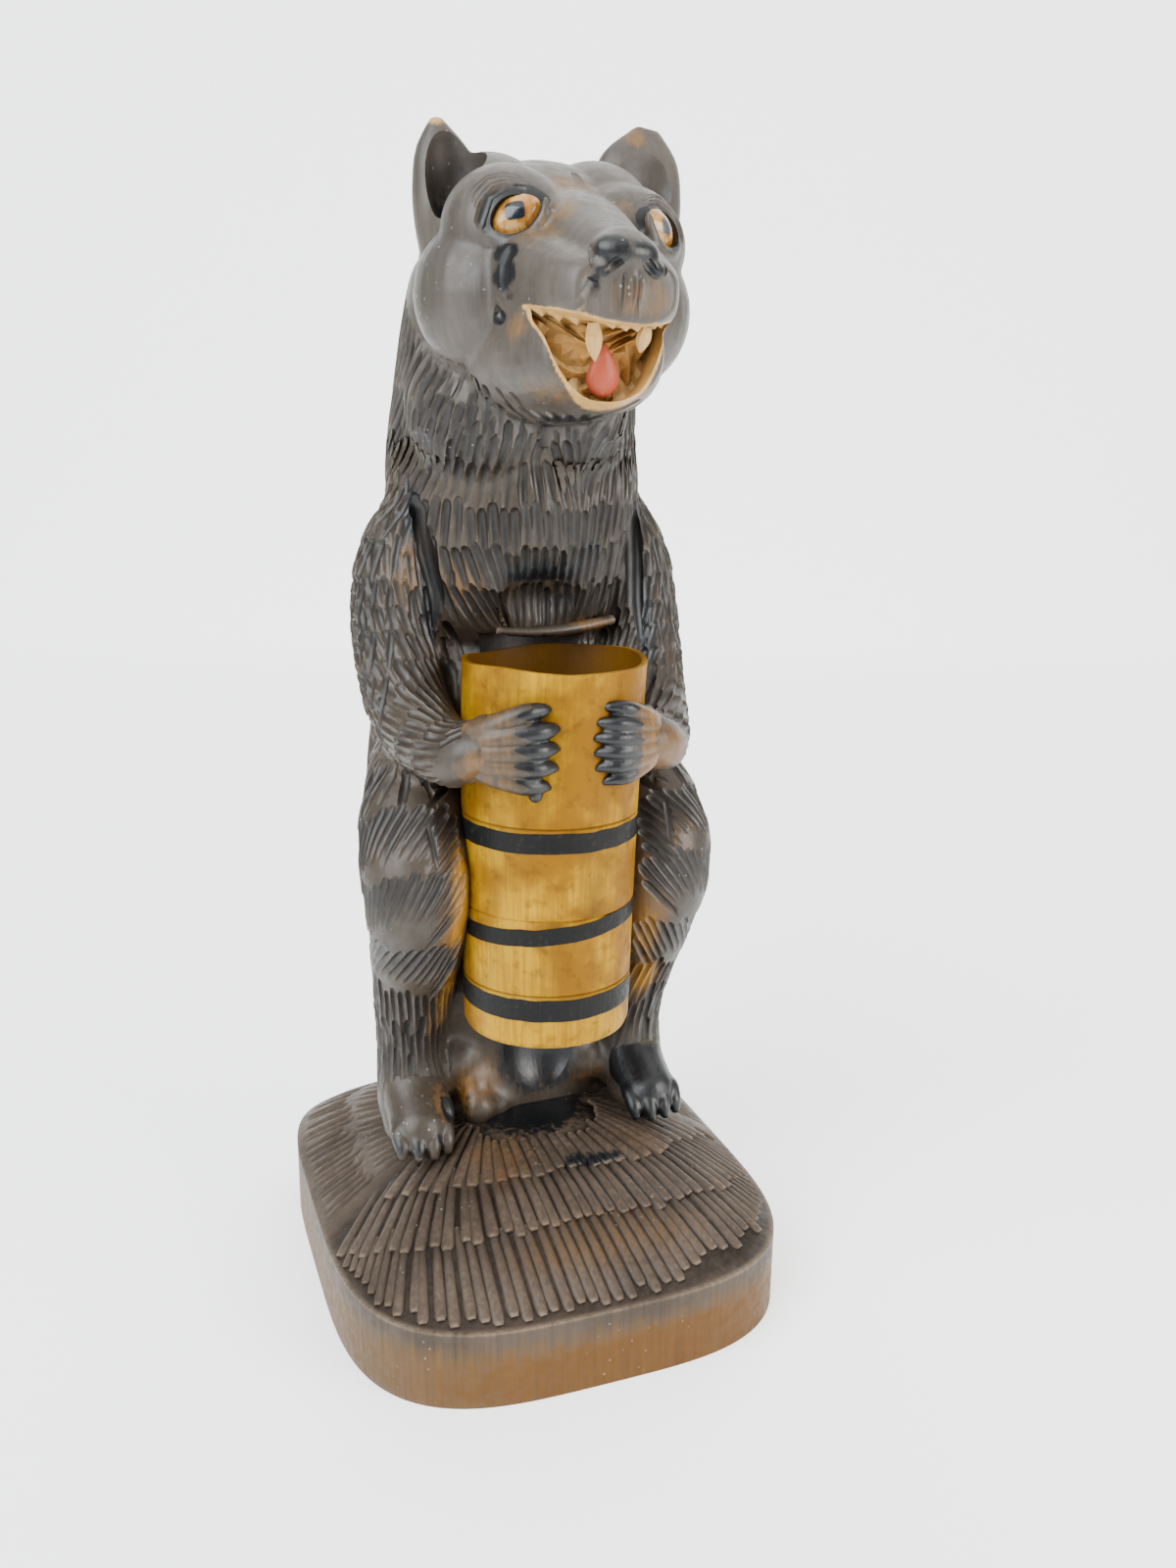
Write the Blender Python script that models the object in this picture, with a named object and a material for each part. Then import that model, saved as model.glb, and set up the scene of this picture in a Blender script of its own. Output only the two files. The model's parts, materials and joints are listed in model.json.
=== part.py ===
"""Carved wooden bear that holds an open barrel, standing on its own carved plinth.

The bear, the barrel and the plinth are one block of wood, so they are one solid.
Metres, +Z up. The bear faces -Y, its left side is at +X, and the origin is the centre of the
plinth's underside. The bear's own form is set out in parts of its height (see figure); the
plinth and the barrel have sizes of their own.
"""

import math

import bmesh
import bpy
import numpy as np
from mathutils import Matrix, Vector
from mathutils.bvhtree import BVHTree
from mathutils.kdtree import KDTree

MM = 0.001

# The plinth: a rounded block with a plain side wall and a mound on top
PLINTH_WIDTH = 115 * MM
PLINTH_DEPTH = 126 * MM
PLINTH_WALL = 19.5 * MM
MOUND_RISE = 20.5 * MM
MOUND_FULLNESS = 2.5
PLINTH_SQUARENESS_FRONT = 3.5
PLINTH_SQUARENESS_BACK = 5.0

# The bear, from the top of the mound to the tip of its left ear
BEAR_HEIGHT = 244 * MM
PART_SHARE = 1 / 244

# The trunk in parts of the bear: height, centre along Y, half width, half depth
TRUNK = [(-8, 20, 34, 19), (20, 20, 34, 20), (38, 19, 35.5, 24), (60, 18, 37, 27), (90, 18, 37, 27),
         (112, 19, 34, 24), (126, 22, 31, 18.5), (142, 15, 31, 24), (160, 11.5, 31.5, 27),
         (170, 12, 31, 27.5), (184, 9, 29.5, 26.5), (197, 4, 28.5, 24.5), (209, 0, 26.5, 23),
         (217, -1, 22, 20)]

# The face in parts of the bear: place along Y, height, half width, half height
BRIDGE = [(-20, 212, 15, 14), (-36, 211, 11, 11), (-48, 208.5, 9, 8), (-58, 206, 7, 6)]
MUZZLE = [(-22, 204, 22, 14), (-38, 203, 18.5, 12), (-50, 202, 15, 9), (-57, 201.5, 12, 6.8),
          (-61, 201.5, 9, 5)]
JAW = [(-20, 191, 19, 14), (-38, 191, 18, 13), (-46, 191, 15.5, 11.5), (-52.5, 191.5, 12.5, 9.5)]
HEAD_LEAN_ANGLE = 4.5

# The open mouth in parts of the bear: half width, height of its upper edge, drop of its lower one
MOUTH = (16, 195.5, 13.5)

# The left eye's place in parts of the bear, and how far its socket spreads and sinks
EYE = (15.5, -37, 217)
SOCKET = (9, 2.2)

# Paws
PAW_ANGLE = 34
DIGITS = 4

# The barrel, open at the top
BARREL_RADIUS = 21.4 * MM
BARREL_FLARE = 1.6 * MM
BARREL_HEIGHT = 93 * MM
BARREL_WALL = 3.6 * MM
BARREL_HOLLOW_DEPTH = 62 * MM
BARREL_FOOT_ROUNDING = 1.4 * MM
RIM_AIR = 5 * MM
HOOP_WIDTH = 5.4 * MM
HOOP_GROOVE = 0.5 * MM
HOOP_SHARES = (0.085, 0.30, 0.56)

# The gouge cuts: locks of fur on the bear and flutes on the plinth
LOCK_WIDTH = 5.6 * MM
LOCK_LENGTH = 17 * MM
LOCK_DEPTH = 1.3 * MM
LOCK_ROW_SHARE = 0.72
FLUTE_WIDTH = 5.0 * MM
FLUTE_DEPTH = 1.2 * MM
FLUTE_ROWS = (1.0, 0.74, 0.50, 0.27)
FLUTE_PITCH_SHARE = 0.93
FLUTE_FAN = 0.5
SCOOP_ENTRY = 0.1
SCOOP_EXIT = 1.15

# The mesh
CLAY_VOXEL = 1.3 * MM
CLAY_EASING = 6
PLINTH_SIDES = 320
PLINTH_RINGS = 40
BARREL_SIDES = 36
BEAR_TRIANGLES = 4800
PLINTH_TRIANGLES = 1550
SHARP_ANGLE = 32

# The wood: stained and lacquered
WOOD_COLOUR = (0.115, 0.092, 0.078, 1)
WOOD_ROUGHNESS = 0.34

UNIT = BEAR_HEIGHT * PART_SHARE
PLINTH_TOP = PLINTH_WALL + MOUND_RISE
RIM_Z = PLINTH_TOP + 124 * UNIT
BARREL_FOOT_Z = RIM_Z - BARREL_HEIGHT
BARREL_BACK_Y = 6 * UNIT
BARREL_Y = BARREL_BACK_Y - BARREL_RADIUS
SIDES = (-1, 1)


def figure(x, y, z):
    """A point of the bear: parts of its height, z counted from the top of the mound."""
    return Vector((x * UNIT, y * UNIT, PLINTH_TOP + z * UNIT))


# Clay: closed lumps that are melted into one skin


def blend_stations(stations, steps):
    """Catmull-Rom values between the stations, which are rows of equal length."""
    rows = np.array(stations, dtype=float)
    padded = np.vstack([2 * rows[0] - rows[1], rows, 2 * rows[-1] - rows[-2]])
    result = []
    for i in range(len(rows) - 1):
        p0, p1, p2, p3 = padded[i:i + 4]
        for k in range(steps):
            t = k / steps
            result.append(0.5 * (2 * p1 + (p2 - p0) * t + (2 * p0 - 5 * p1 + 4 * p2 - p3) * t * t
                                 + (3 * p1 - p0 - 3 * p2 + p3) * t ** 3))
    result.append(rows[-1])
    return np.array(result)


def loft(clay, stations, sides=24, steps=4, up=(0, 1, 0), squareness=2.0):
    """A closed tube through stations (x, y, z, half breadth, half height across up)."""
    rows = blend_stations(stations, steps)
    centres = [figure(*row[:3]) for row in rows]
    rings = []
    for i, row in enumerate(rows):
        along = (centres[min(i + 1, len(rows) - 1)] - centres[max(i - 1, 0)]).normalized()
        across = Vector(up).cross(along).normalized()
        over = along.cross(across)
        ring = []
        for k in range(sides):
            c = math.cos(math.tau * k / sides)
            s = math.sin(math.tau * k / sides)
            reach = (abs(c) ** squareness + abs(s) ** squareness) ** (-1 / squareness)
            offset = across * (row[3] * UNIT * c * reach) + over * (row[4] * UNIT * s * reach)
            ring.append(clay.verts.new(centres[i] + offset))
        rings.append(ring)
    skin_rings(clay, rings)


def skin_rings(shape, rings):
    """Side faces between rings of equal count, and a flat face at each end."""
    for lower, upper in zip(rings, rings[1:]):
        for k in range(len(lower)):
            j = (k + 1) % len(lower)
            shape.faces.new((lower[k], lower[j], upper[j], upper[k]))
    shape.faces.new(list(reversed(rings[0])))
    shape.faces.new(rings[-1])


def ball(clay, centre, radii, turn=(0, 0, 0), segments=24):
    """An ellipsoid, its radii in parts of the bear, turned by degrees about X, Y and Z."""
    spin = Matrix.Identity(4)
    for angle, axis in zip(turn, "XYZ"):
        spin = Matrix.Rotation(math.radians(angle), 4, axis) @ spin
    shape = Matrix.Diagonal((radii[0] * UNIT, radii[1] * UNIT, radii[2] * UNIT, 1))
    bmesh.ops.create_uvsphere(clay, u_segments=segments, v_segments=segments * 2 // 3, radius=1,
                              matrix=Matrix.Translation(figure(*centre)) @ spin @ shape)


def limb(clay, stations, flatten=1.0):
    """A limb through stations (x, y, z, radius), narrowed sideways, with a ball at each end."""
    loft(clay, [(x, y, z, r * flatten, r) for x, y, z, r in stations])
    for x, y, z, r in (stations[0], stations[-1]):
        ball(clay, (x, y, z), (r * flatten, r, r))


def beside_barrel(side, degrees, gap, z):
    """A place beside the barrel's wall, in parts, turned from its front towards one side."""
    reach = BARREL_RADIUS / UNIT + gap
    angle = math.radians(degrees)
    return (side * reach * math.sin(angle), BARREL_Y / UNIT - reach * math.cos(angle), z)


def arm_line(side):
    """Stations of one arm: shoulder, upper arm, elbow and wrist."""
    return [(side * 22, 9, 154, 9), (side * 30, 9, 143, 12.5), (side * 32, 6, 128, 12),
            (side * 30.5, -3, 111, 11.8), (*beside_barrel(side, 82, 4.9, 104), 9.6),
            (*beside_barrel(side, 53, 3, 106), 7.5)]


def leg_line(side):
    """Stations of one leg: hip, thigh, bulging knee, shin and ankle."""
    return [(side * 27, 6, 94, 12), (side * 31, -6, 82, 13.5), (side * 31.6, -12, 70, 13.5),
            (side * 31, -8, 55, 12), (side * 30.6, 0, 38, 10.4), (side * 30.8, 4.5, 20, 8.8),
            (side * 31, 3, 6, 9)]


def add_trunk(clay):
    """The trunk from the mound to the throat; its chest falls back to the barrel's rim."""
    loft(clay, [(0, y, z, a, b) for z, y, a, b in TRUNK], sides=40)


def lean(x, y, z):
    """A point of the face, which leans a little to the bear's left about the muzzle."""
    turn = math.radians(HEAD_LEAN_ANGLE)
    pivot = 203
    rise = z - pivot
    return (x * math.cos(turn) + rise * math.sin(turn), y,
            pivot + rise * math.cos(turn) - x * math.sin(turn))


def add_head(clay):
    """Skull, brows, cheeks, muzzle, lower jaw and nose."""
    ball(clay, (0, -6, 209), (26.5, 28, 24))
    for side in SIDES:
        ball(clay, (side * 12, -8, 219), (14, 20, 14.5))
        ball(clay, lean(side * 13, -23, 215), (14, 13.5, 13))
        ball(clay, lean(side * 14, -19, 202), (17, 17, 17))
        ball(clay, lean(side * 8, -24, 190.5), (14.5, 16, 12.5))
    for stations, squareness in ((BRIDGE, 2.0), (MUZZLE, 2.6), (JAW, 2.4)):
        loft(clay, [(*lean(0, y, z), a, b) for y, z, a, b in stations], up=(0, 0, 1), squareness=squareness)
    ball(clay, lean(-0.5, -58.5, 208.5), (6, 4.5, 4.5))


def add_ear(clay, side):
    """A pointed ear; the left one is broader, taller and set further back."""
    x, y, breadth, tip = (-17.5, -7, 0.86, 240) if side < 0 else (20.3, -1, 1.14, 1 / PART_SHARE)
    loft(clay, [(x, y + 3, tip - 30, 9 * breadth, 8), (x + side * 1.7, y + 1, tip - 21, 10 * breadth, 7),
                (x + side * 3, y, tip - 13, 9 * breadth, 6), (x + side * 4.5, y, tip - 6, 6 * breadth, 4),
                (x + side * 5.4, y, tip, 1.2 * breadth, 1.0)])


def ear_cups():
    """What is scooped out of the front of the ears."""
    shape = bmesh.new()
    for side in SIDES:
        x, y, z = (-19.5, -13, 228) if side < 0 else (23, -8, 230)
        ball(shape, (x, y, z), (5.5, 6.5, 9), (0, side * 10, side * 14), segments=14)
    return new_object("ear_cups", shape)


def add_paw(clay, side):
    """The back of the paw, laid on the barrel's wall."""
    ball(clay, beside_barrel(side, PAW_ANGLE, 2.2, 107), (7.5, 4.5, 8.5), (0, 0, side * PAW_ANGLE))


def add_leg(clay, side):
    """Haunch, leg and foot."""
    ball(clay, (side * 25.5, 14, 60), (13, 21, 33))
    limb(clay, leg_line(side))
    ball(clay, (side * 31, -4, 2.5), (9, 12, 5.5), (0, 0, -side * 4))


def clay_bear():
    """All lumps of the bear in one bmesh, not yet joined."""
    clay = bmesh.new()
    add_trunk(clay)
    add_head(clay)
    for side in SIDES:
        add_ear(clay, side)
        limb(clay, arm_line(side), flatten=0.85)
        add_paw(clay, side)
        add_leg(clay, side)
    return clay


# Small crisp pieces that are added to the skin or cut out of it


def round_bar(shape, start, end, start_radius, end_radius, sides=8):
    """A tapered bar with rounded ends, between two points in metres."""
    along = (end - start).normalized()
    across = along.orthogonal().normalized()
    over = along.cross(across)
    profile = [(-0.8 * start_radius, 0.5 * start_radius, start), (0, start_radius, start),
               (0, end_radius, end), (0.8 * end_radius, 0.45 * end_radius, end)]
    rings = []
    for offset, radius, centre in profile:
        ring = []
        for k in range(sides):
            angle = math.tau * k / sides
            spoke = across * math.cos(angle) + over * math.sin(angle)
            ring.append(shape.verts.new(centre + along * offset + spoke * radius))
        rings.append(ring)
    skin_rings(shape, rings)


def fingers(side):
    """Stacked fingers that lie round the front of the barrel."""
    shape = bmesh.new()
    pitch = 4.3
    for k in range(DIGITS):
        place = k - (DIGITS - 1) / 2
        z = 107 + pitch * place
        knuckle = figure(*beside_barrel(side, PAW_ANGLE + 6, 1.1, z))
        tip = figure(*beside_barrel(side, 13 + 2 * abs(place), 1.1, z))
        round_bar(shape, knuckle, tip, 0.48 * pitch * UNIT, 0.4 * pitch * UNIT)
    return new_object("fingers", shape)


def toes(side):
    """The toes at the front of one foot, the outer ones set back."""
    shape = bmesh.new()
    pitch = 4.2
    for k in range(DIGITS):
        spread = (k - (DIGITS - 1) / 2) * pitch
        start = figure(side * (31 + spread), -10 + 0.5 * abs(spread), 3.4)
        end = figure(side * (31 + 1.25 * spread), -17 + 0.5 * abs(spread), -0.5)
        round_bar(shape, start, end, 0.48 * pitch * UNIT, 0.38 * pitch * UNIT)
    return new_object("toes", shape)


def mouth_cavity():
    """The open mouth: a straight upper edge, a round lower one, and a flat floor set back."""
    shape = bmesh.new()
    half, top, drop = MOUTH
    outline = [(-half / 2, top), (half / 2, top), (half, top + 2)]
    for k in range(1, 10):
        angle = math.pi * k / 10
        outline.append((half * math.cos(angle), top - drop * math.sin(angle)))
    outline.append((-half, top + 2))
    middle = top - drop / 2
    rings = []
    for y, scale in ((-70, 1.06), (-43.5, 0.88)):
        places = [lean(x * scale, y + 0.3 * abs(x), middle + (z - middle) * scale) for x, z in outline]
        rings.append([shape.verts.new(figure(*place)) for place in places])
    skin_rings(shape, rings)
    return new_object("mouth_cavity", shape)


def tongue_and_fangs():
    """The tongue on the mouth's floor and the two upper fangs."""
    shape = bmesh.new()
    _, top, drop = MOUTH
    floor = top - drop
    round_bar(shape, figure(*lean(0, -43, floor + 5)), figure(*lean(0, -50.5, floor + 2.5)),
              4.2 * UNIT, 2.8 * UNIT)
    for side in SIDES:
        root = figure(*lean(side * 7, -49, top + 1.5))
        tip = figure(*lean(side * 6.5, -51, top - 7))
        round_bar(shape, root, tip, 2.2 * UNIT, 0.7 * UNIT, 6)
    return new_object("tongue_and_fangs", shape)


# The plinth


def plinth_edge(angle):
    """The plinth's outline in one direction, on a square with rounded corners."""
    c = math.cos(angle)
    s = math.sin(angle)
    squareness = PLINTH_SQUARENESS_FRONT if s < 0 else PLINTH_SQUARENESS_BACK
    nearness = abs(2 * c / PLINTH_WIDTH) ** squareness + abs(2 * s / PLINTH_DEPTH) ** squareness
    reach = nearness ** (-1 / squareness)
    return Vector((c * reach, s * reach, 0))


def mound_point(angle, share):
    """A point of the plinth's top, from its middle (share 0) to its edge (share 1)."""
    height = PLINTH_WALL + MOUND_RISE * (1 - share ** MOUND_FULLNESS)
    return plinth_edge(angle) * share + Vector((0, 0, height))


def plinth():
    """The flat underside, the plain wall and the fluted mound."""
    shape = bmesh.new()
    angles = [math.tau * k / PLINTH_SIDES for k in range(PLINTH_SIDES)]
    rings = [[shape.verts.new(plinth_edge(angle)) for angle in angles]]
    for step in range(PLINTH_RINGS, 0, -1):
        rings.append([shape.verts.new(mound_point(angle, step / PLINTH_RINGS)) for angle in angles])
    skin_rings(shape, rings)
    block = new_object("plinth", shape)
    cut_strokes(block, flute_strokes(), FLUTE_WIDTH, FLUTE_DEPTH, keep_below=PLINTH_WALL * 0.5)
    return block


def flute_strokes():
    """Rows of strokes that run down the mound to its edge."""
    strokes = []
    for outer, inner in zip(FLUTE_ROWS, FLUTE_ROWS[1:]):
        girth = [mound_point(math.tau * k / 720, outer) for k in range(721)]
        travelled = 0.0
        for here, there in zip(girth, girth[1:]):
            travelled += (there - here).length
            if travelled < FLUTE_WIDTH * FLUTE_PITCH_SHARE:
                continue
            travelled = 0.0
            outward = Vector((there.x, there.y, 0)) * (1 - inner / outer)
            square_on = (there - here).cross(Vector((0, 0, 1))).normalized() * outward.length
            start = there - outward * FLUTE_FAN - square_on * (1 - FLUTE_FAN)
            start.z = there.z + MOUND_RISE * (outer ** MOUND_FULLNESS - inner ** MOUND_FULLNESS)
            strokes.append((start, there + (there - start) * 0.05))
    return strokes


# The barrel


def turned(name, profile):
    """A closed solid turned round the barrel's axis from (radius, height) points, bottom first."""
    shape = bmesh.new()
    rings = []
    for radius, height in profile:
        rings.append([shape.verts.new((radius * math.cos(math.tau * k / BARREL_SIDES),
                                       BARREL_Y + radius * math.sin(math.tau * k / BARREL_SIDES), height))
                      for k in range(BARREL_SIDES)])
    skin_rings(shape, rings)
    return new_object(name, shape)


def barrel_radius(z):
    """Outer radius at a height: a little wider at the rim and narrower at the foot."""
    share = (z - BARREL_FOOT_Z) / BARREL_HEIGHT
    return BARREL_RADIUS + BARREL_FLARE * (share ** 3 - 0.5 * (1 - share) ** 2)


def barrel():
    """The barrel's outside, with a scored groove above and below each hoop."""
    low = BARREL_FOOT_Z + BARREL_FOOT_ROUNDING
    profile = [(barrel_radius(low) - BARREL_FOOT_ROUNDING, BARREL_FOOT_Z), (barrel_radius(low), low)]
    for share in HOOP_SHARES:
        for edge in (-HOOP_WIDTH / 2, HOOP_WIDTH / 2):
            z = BARREL_FOOT_Z + share * BARREL_HEIGHT + edge
            profile += [(barrel_radius(z), z - HOOP_GROOVE), (barrel_radius(z) - HOOP_GROOVE, z),
                        (barrel_radius(z), z + HOOP_GROOVE)]
    high = RIM_Z - 0.15 * BARREL_HEIGHT
    profile += [(barrel_radius(high), high), (barrel_radius(RIM_Z), RIM_Z)]
    return turned("barrel", profile)


def barrel_hollow():
    """The empty inside of the barrel, and the air just above its rim."""
    floor = RIM_Z - BARREL_HOLLOW_DEPTH
    inner = BARREL_RADIUS - BARREL_WALL
    mouth = barrel_radius(RIM_Z) - BARREL_WALL
    corner = [(inner - BARREL_FOOT_ROUNDING, floor), (inner, floor + BARREL_FOOT_ROUNDING)]
    return turned("barrel_hollow", corner + [(mouth, RIM_Z), (mouth, RIM_Z + RIM_AIR)])


# Gouge cuts


def cut_strokes(thing, strokes, width, depth, keep_below=None):
    """Presses strokes (start, end) into a mesh: each scoop starts deep and runs out to nothing."""
    mesh = thing.data
    count = len(mesh.vertices)
    spots = np.empty(count * 3)
    mesh.vertices.foreach_get("co", spots)
    spots = spots.reshape(-1, 3)
    normals = np.array([vertex.normal for vertex in mesh.vertices])
    tree = KDTree(count)
    for i, spot in enumerate(spots):
        tree.insert(spot, i)
    tree.balance()
    dents = np.zeros(count)
    for start, end in strokes:
        length = (end - start).length
        along = np.array((end - start).normalized())
        near = [i for _, i, _ in tree.find_range((start + end) / 2, length / 2 + width / 2)]
        if not near:
            continue
        offsets = spots[near] - np.array(start)
        travel = offsets @ along
        aside = offsets - np.outer(travel, along)
        heights = np.einsum("ij,ij->i", aside, normals[near])
        across = np.sqrt(np.maximum(np.einsum("ij,ij->i", aside, aside) - heights ** 2, 0)) / (width / 2)
        share = travel / length
        scoop = np.clip(1 - across ** 2, 0, 1) * np.clip(share / SCOOP_ENTRY, 0, 1)
        scoop *= np.clip(SCOOP_EXIT - share, 0, 1)
        scoop[share > 1] = 0
        dents[near] = np.maximum(dents[near], depth * scoop)
    if keep_below is not None:
        dents[spots[:, 2] < keep_below] = 0
    spots -= normals * dents[:, None]
    mesh.vertices.foreach_set("co", spots.ravel())
    mesh.update()


def strokes_round_line(tree, stations, slant, allowed):
    """Rows of strokes round a limb or the trunk; stations are (x, y, z, radius)."""
    rows = blend_stations(stations, 6)
    centres = [figure(*row[:3]) for row in rows]
    travelled = [0.0]
    for a, b in zip(centres, centres[1:]):
        travelled.append(travelled[-1] + (b - a).length)
    strokes = []
    row_gap = LOCK_LENGTH * LOCK_ROW_SHARE
    for row in range(int(travelled[-1] / row_gap)):
        goal = (row + 0.5) * row_gap
        i = max(k for k, t in enumerate(travelled) if t <= goal)
        i = min(i, len(centres) - 2)
        centre = centres[i]
        along = (centres[i + 1] - centres[i]).normalized()
        across = along.orthogonal().normalized()
        over = along.cross(across)
        radius = rows[i][3] * UNIT
        count = max(6, round(math.tau * radius * 0.95 / LOCK_WIDTH))
        for k in range(count):
            angle = math.tau * (k + 0.5 * (row % 2)) / count
            spoke = across * math.cos(angle) + over * math.sin(angle)
            spot, normal, _, distance = tree.ray_cast(centre, spoke)
            if spot is None or distance > 1.5 * radius or not allowed(spot):
                continue
            around = along.cross(spoke)
            flow = along + around * slant
            flow = (flow - normal * flow.dot(normal)).normalized()
            tip = spot + flow * LOCK_LENGTH
            tip = tree.find_nearest(tip)[0]
            if not allowed(tip):
                continue
            strokes.append((spot, tip))
    return strokes


def furred(spot):
    """Where the bear has locks: not on its face, its ears, its paws, its feet or the barrel."""
    y = spot.y / UNIT
    z = (spot.z - PLINTH_TOP) / UNIT
    face = z > 176 and y < -4 - 0.8 * (215 - z)
    paw = y < -27 and 96 < z < 118
    barrel_side = math.hypot(spot.x, spot.y - BARREL_Y) < BARREL_RADIUS + 1.5 * UNIT and spot.z < RIM_Z
    return 8 < z < 222 and not (face or paw or barrel_side)


def eye_place(side, sink):
    """The middle of an eye, sunk into the face by so many parts."""
    x, y, z = EYE
    return figure(*lean(side * x, y + sink, z))


def press_sockets(bear):
    """Dents the face round each eye, so that the eyeball sits in a hollow."""
    spread, depth = SOCKET
    for vertex in bear.data.vertices:
        for side in SIDES:
            away = (vertex.co - eye_place(side, 0)).length / (spread * UNIT)
            if away < 1 and vertex.co.y < eye_place(side, spread).y:
                vertex.co.y += depth * UNIT * (1 - away ** 2)


def eyeballs():
    """Both eyeballs, sunk in their sockets."""
    shape = bmesh.new()
    x, y, z = EYE
    for side in SIDES:
        ball(shape, lean(side * x + 0.6, y + 4, z), (5.3, 5.0, 4.9), segments=12)
    return new_object("eyeballs", shape)


def carve_fur(bear):
    """Cuts the locks on the trunk, the arms and the legs, from the neck down."""
    graph = bpy.context.evaluated_depsgraph_get()
    tree = BVHTree.FromObject(bear, graph)
    trunk = [(0, -2, 222, 26), (0, 6, 190, 27), (0, 14, 150, 29), (0, 17, 100, 32), (0, 18, 40, 31),
             (0, 19, 6, 28)]
    strokes = strokes_round_line(tree, trunk, 0.0, furred)
    for side in SIDES:
        strokes += strokes_round_line(tree, arm_line(side), 0.3 * side, furred)
        strokes += strokes_round_line(tree, leg_line(side), 0.15 * side, furred)
    cut_strokes(bear, strokes, LOCK_WIDTH, LOCK_DEPTH)


# Objects and steps


def new_object(name, shape):
    """A scene object made from a bmesh of closed shapes, which is freed."""
    bmesh.ops.recalc_face_normals(shape, faces=shape.faces)
    mesh = bpy.data.meshes.new(name)
    shape.to_mesh(mesh)
    shape.free()
    thing = bpy.data.objects.new(name, mesh)
    bpy.context.scene.collection.objects.link(thing)
    return thing


def bake(thing):
    """Replaces the object's mesh by what its modifiers make of it."""
    graph = bpy.context.evaluated_depsgraph_get()
    baked = bpy.data.meshes.new_from_object(thing.evaluated_get(graph))
    thing.modifiers.clear()
    thing.data = baked


def fuse(thing):
    """Melts the lumps into one skin and eases the joins between them."""
    remesh = thing.modifiers.new("fuse", "REMESH")
    remesh.mode = "VOXEL"
    remesh.voxel_size = CLAY_VOXEL
    ease = thing.modifiers.new("ease", "SMOOTH")
    ease.factor = 0.5
    ease.iterations = CLAY_EASING
    bake(thing)


def combine(target, other, operation):
    """One exact Boolean step; the other object is used up."""
    step = target.modifiers.new(operation.lower(), "BOOLEAN")
    step.operation = operation
    step.solver = "EXACT"
    step.object = other
    bake(target)
    bpy.data.objects.remove(other)


def thin_out(thing, budget):
    """Merges faces until the object keeps to its budget of triangles."""
    thing.data.calc_loop_triangles()
    thin = thing.modifiers.new("thin", "DECIMATE")
    thin.ratio = budget / len(thing.data.loop_triangles)
    thin.use_collapse_triangulate = True
    bake(thing)


def lacquer(thing):
    """The material of the wood, and smooth shading with crisp cuts."""
    wood = bpy.data.materials.new("carved_wood")
    wood.use_nodes = True
    surface = wood.node_tree.nodes["Principled BSDF"]
    surface.inputs["Base Color"].default_value = WOOD_COLOUR
    surface.inputs["Roughness"].default_value = WOOD_ROUGHNESS
    surface.inputs["Metallic"].default_value = 0
    thing.data.materials.clear()
    thing.data.materials.append(wood)
    thing.data.shade_smooth()
    thing.data.set_sharp_from_angle(angle=math.radians(SHARP_ANGLE))


def main():
    for thing in list(bpy.data.objects):
        bpy.data.objects.remove(thing)
    bear = new_object("carved_bear", clay_bear())
    fuse(bear)
    press_sockets(bear)
    carve_fur(bear)
    thin_out(bear, BEAR_TRIANGLES)
    combine(bear, ear_cups(), "DIFFERENCE")
    combine(bear, mouth_cavity(), "DIFFERENCE")
    combine(bear, tongue_and_fangs(), "UNION")
    combine(bear, eyeballs(), "UNION")
    block = plinth()
    thin_out(block, PLINTH_TRIANGLES)
    combine(bear, block, "UNION")
    combine(bear, barrel(), "UNION")
    combine(bear, barrel_hollow(), "DIFFERENCE")
    for side in SIDES:
        combine(bear, fingers(side), "UNION")
        combine(bear, toes(side), "UNION")
    lacquer(bear)


main()
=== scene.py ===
# %% [markdown]
# # A carved wooden bear with a barrel
#
# One block of wood was cut into a standing bear, the barrel that it holds and the plinth under it. The
# maker roughed out the form, covered it with rows of gouge cuts for fur, stained it dark, painted the claws
# and the hoops black, rubbed some places back to bare wood and lacquered the whole. This notebook follows
# the same order: clay forms first, then the gouge cuts, then colour.

# %% Open the CAD frame
import json
import math
import random

import bmesh
import bpy
import numpy as np
from mathutils import Matrix, Vector
from mathutils.bvhtree import BVHTree

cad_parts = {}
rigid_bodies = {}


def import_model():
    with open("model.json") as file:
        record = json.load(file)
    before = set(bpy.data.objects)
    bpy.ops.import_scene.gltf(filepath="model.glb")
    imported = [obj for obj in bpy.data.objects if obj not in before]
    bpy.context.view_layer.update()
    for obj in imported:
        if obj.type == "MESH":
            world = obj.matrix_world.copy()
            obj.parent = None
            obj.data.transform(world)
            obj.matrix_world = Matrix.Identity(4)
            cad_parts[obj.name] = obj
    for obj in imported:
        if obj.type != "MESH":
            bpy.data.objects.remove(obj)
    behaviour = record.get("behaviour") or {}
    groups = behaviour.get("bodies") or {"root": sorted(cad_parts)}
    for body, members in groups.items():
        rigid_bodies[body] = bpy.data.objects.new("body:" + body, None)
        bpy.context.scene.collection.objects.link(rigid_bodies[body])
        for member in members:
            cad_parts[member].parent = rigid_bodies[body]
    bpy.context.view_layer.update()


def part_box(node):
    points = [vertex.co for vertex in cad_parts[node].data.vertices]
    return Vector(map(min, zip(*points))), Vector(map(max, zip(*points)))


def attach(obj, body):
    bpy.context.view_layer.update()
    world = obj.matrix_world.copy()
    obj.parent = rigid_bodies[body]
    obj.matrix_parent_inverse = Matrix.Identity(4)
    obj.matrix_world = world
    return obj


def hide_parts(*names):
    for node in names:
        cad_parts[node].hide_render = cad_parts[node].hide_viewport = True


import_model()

low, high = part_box("carved_bear")
print("CAD box in mm:", [round(1000 * v, 1) for v in (*low, *high)])

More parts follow.
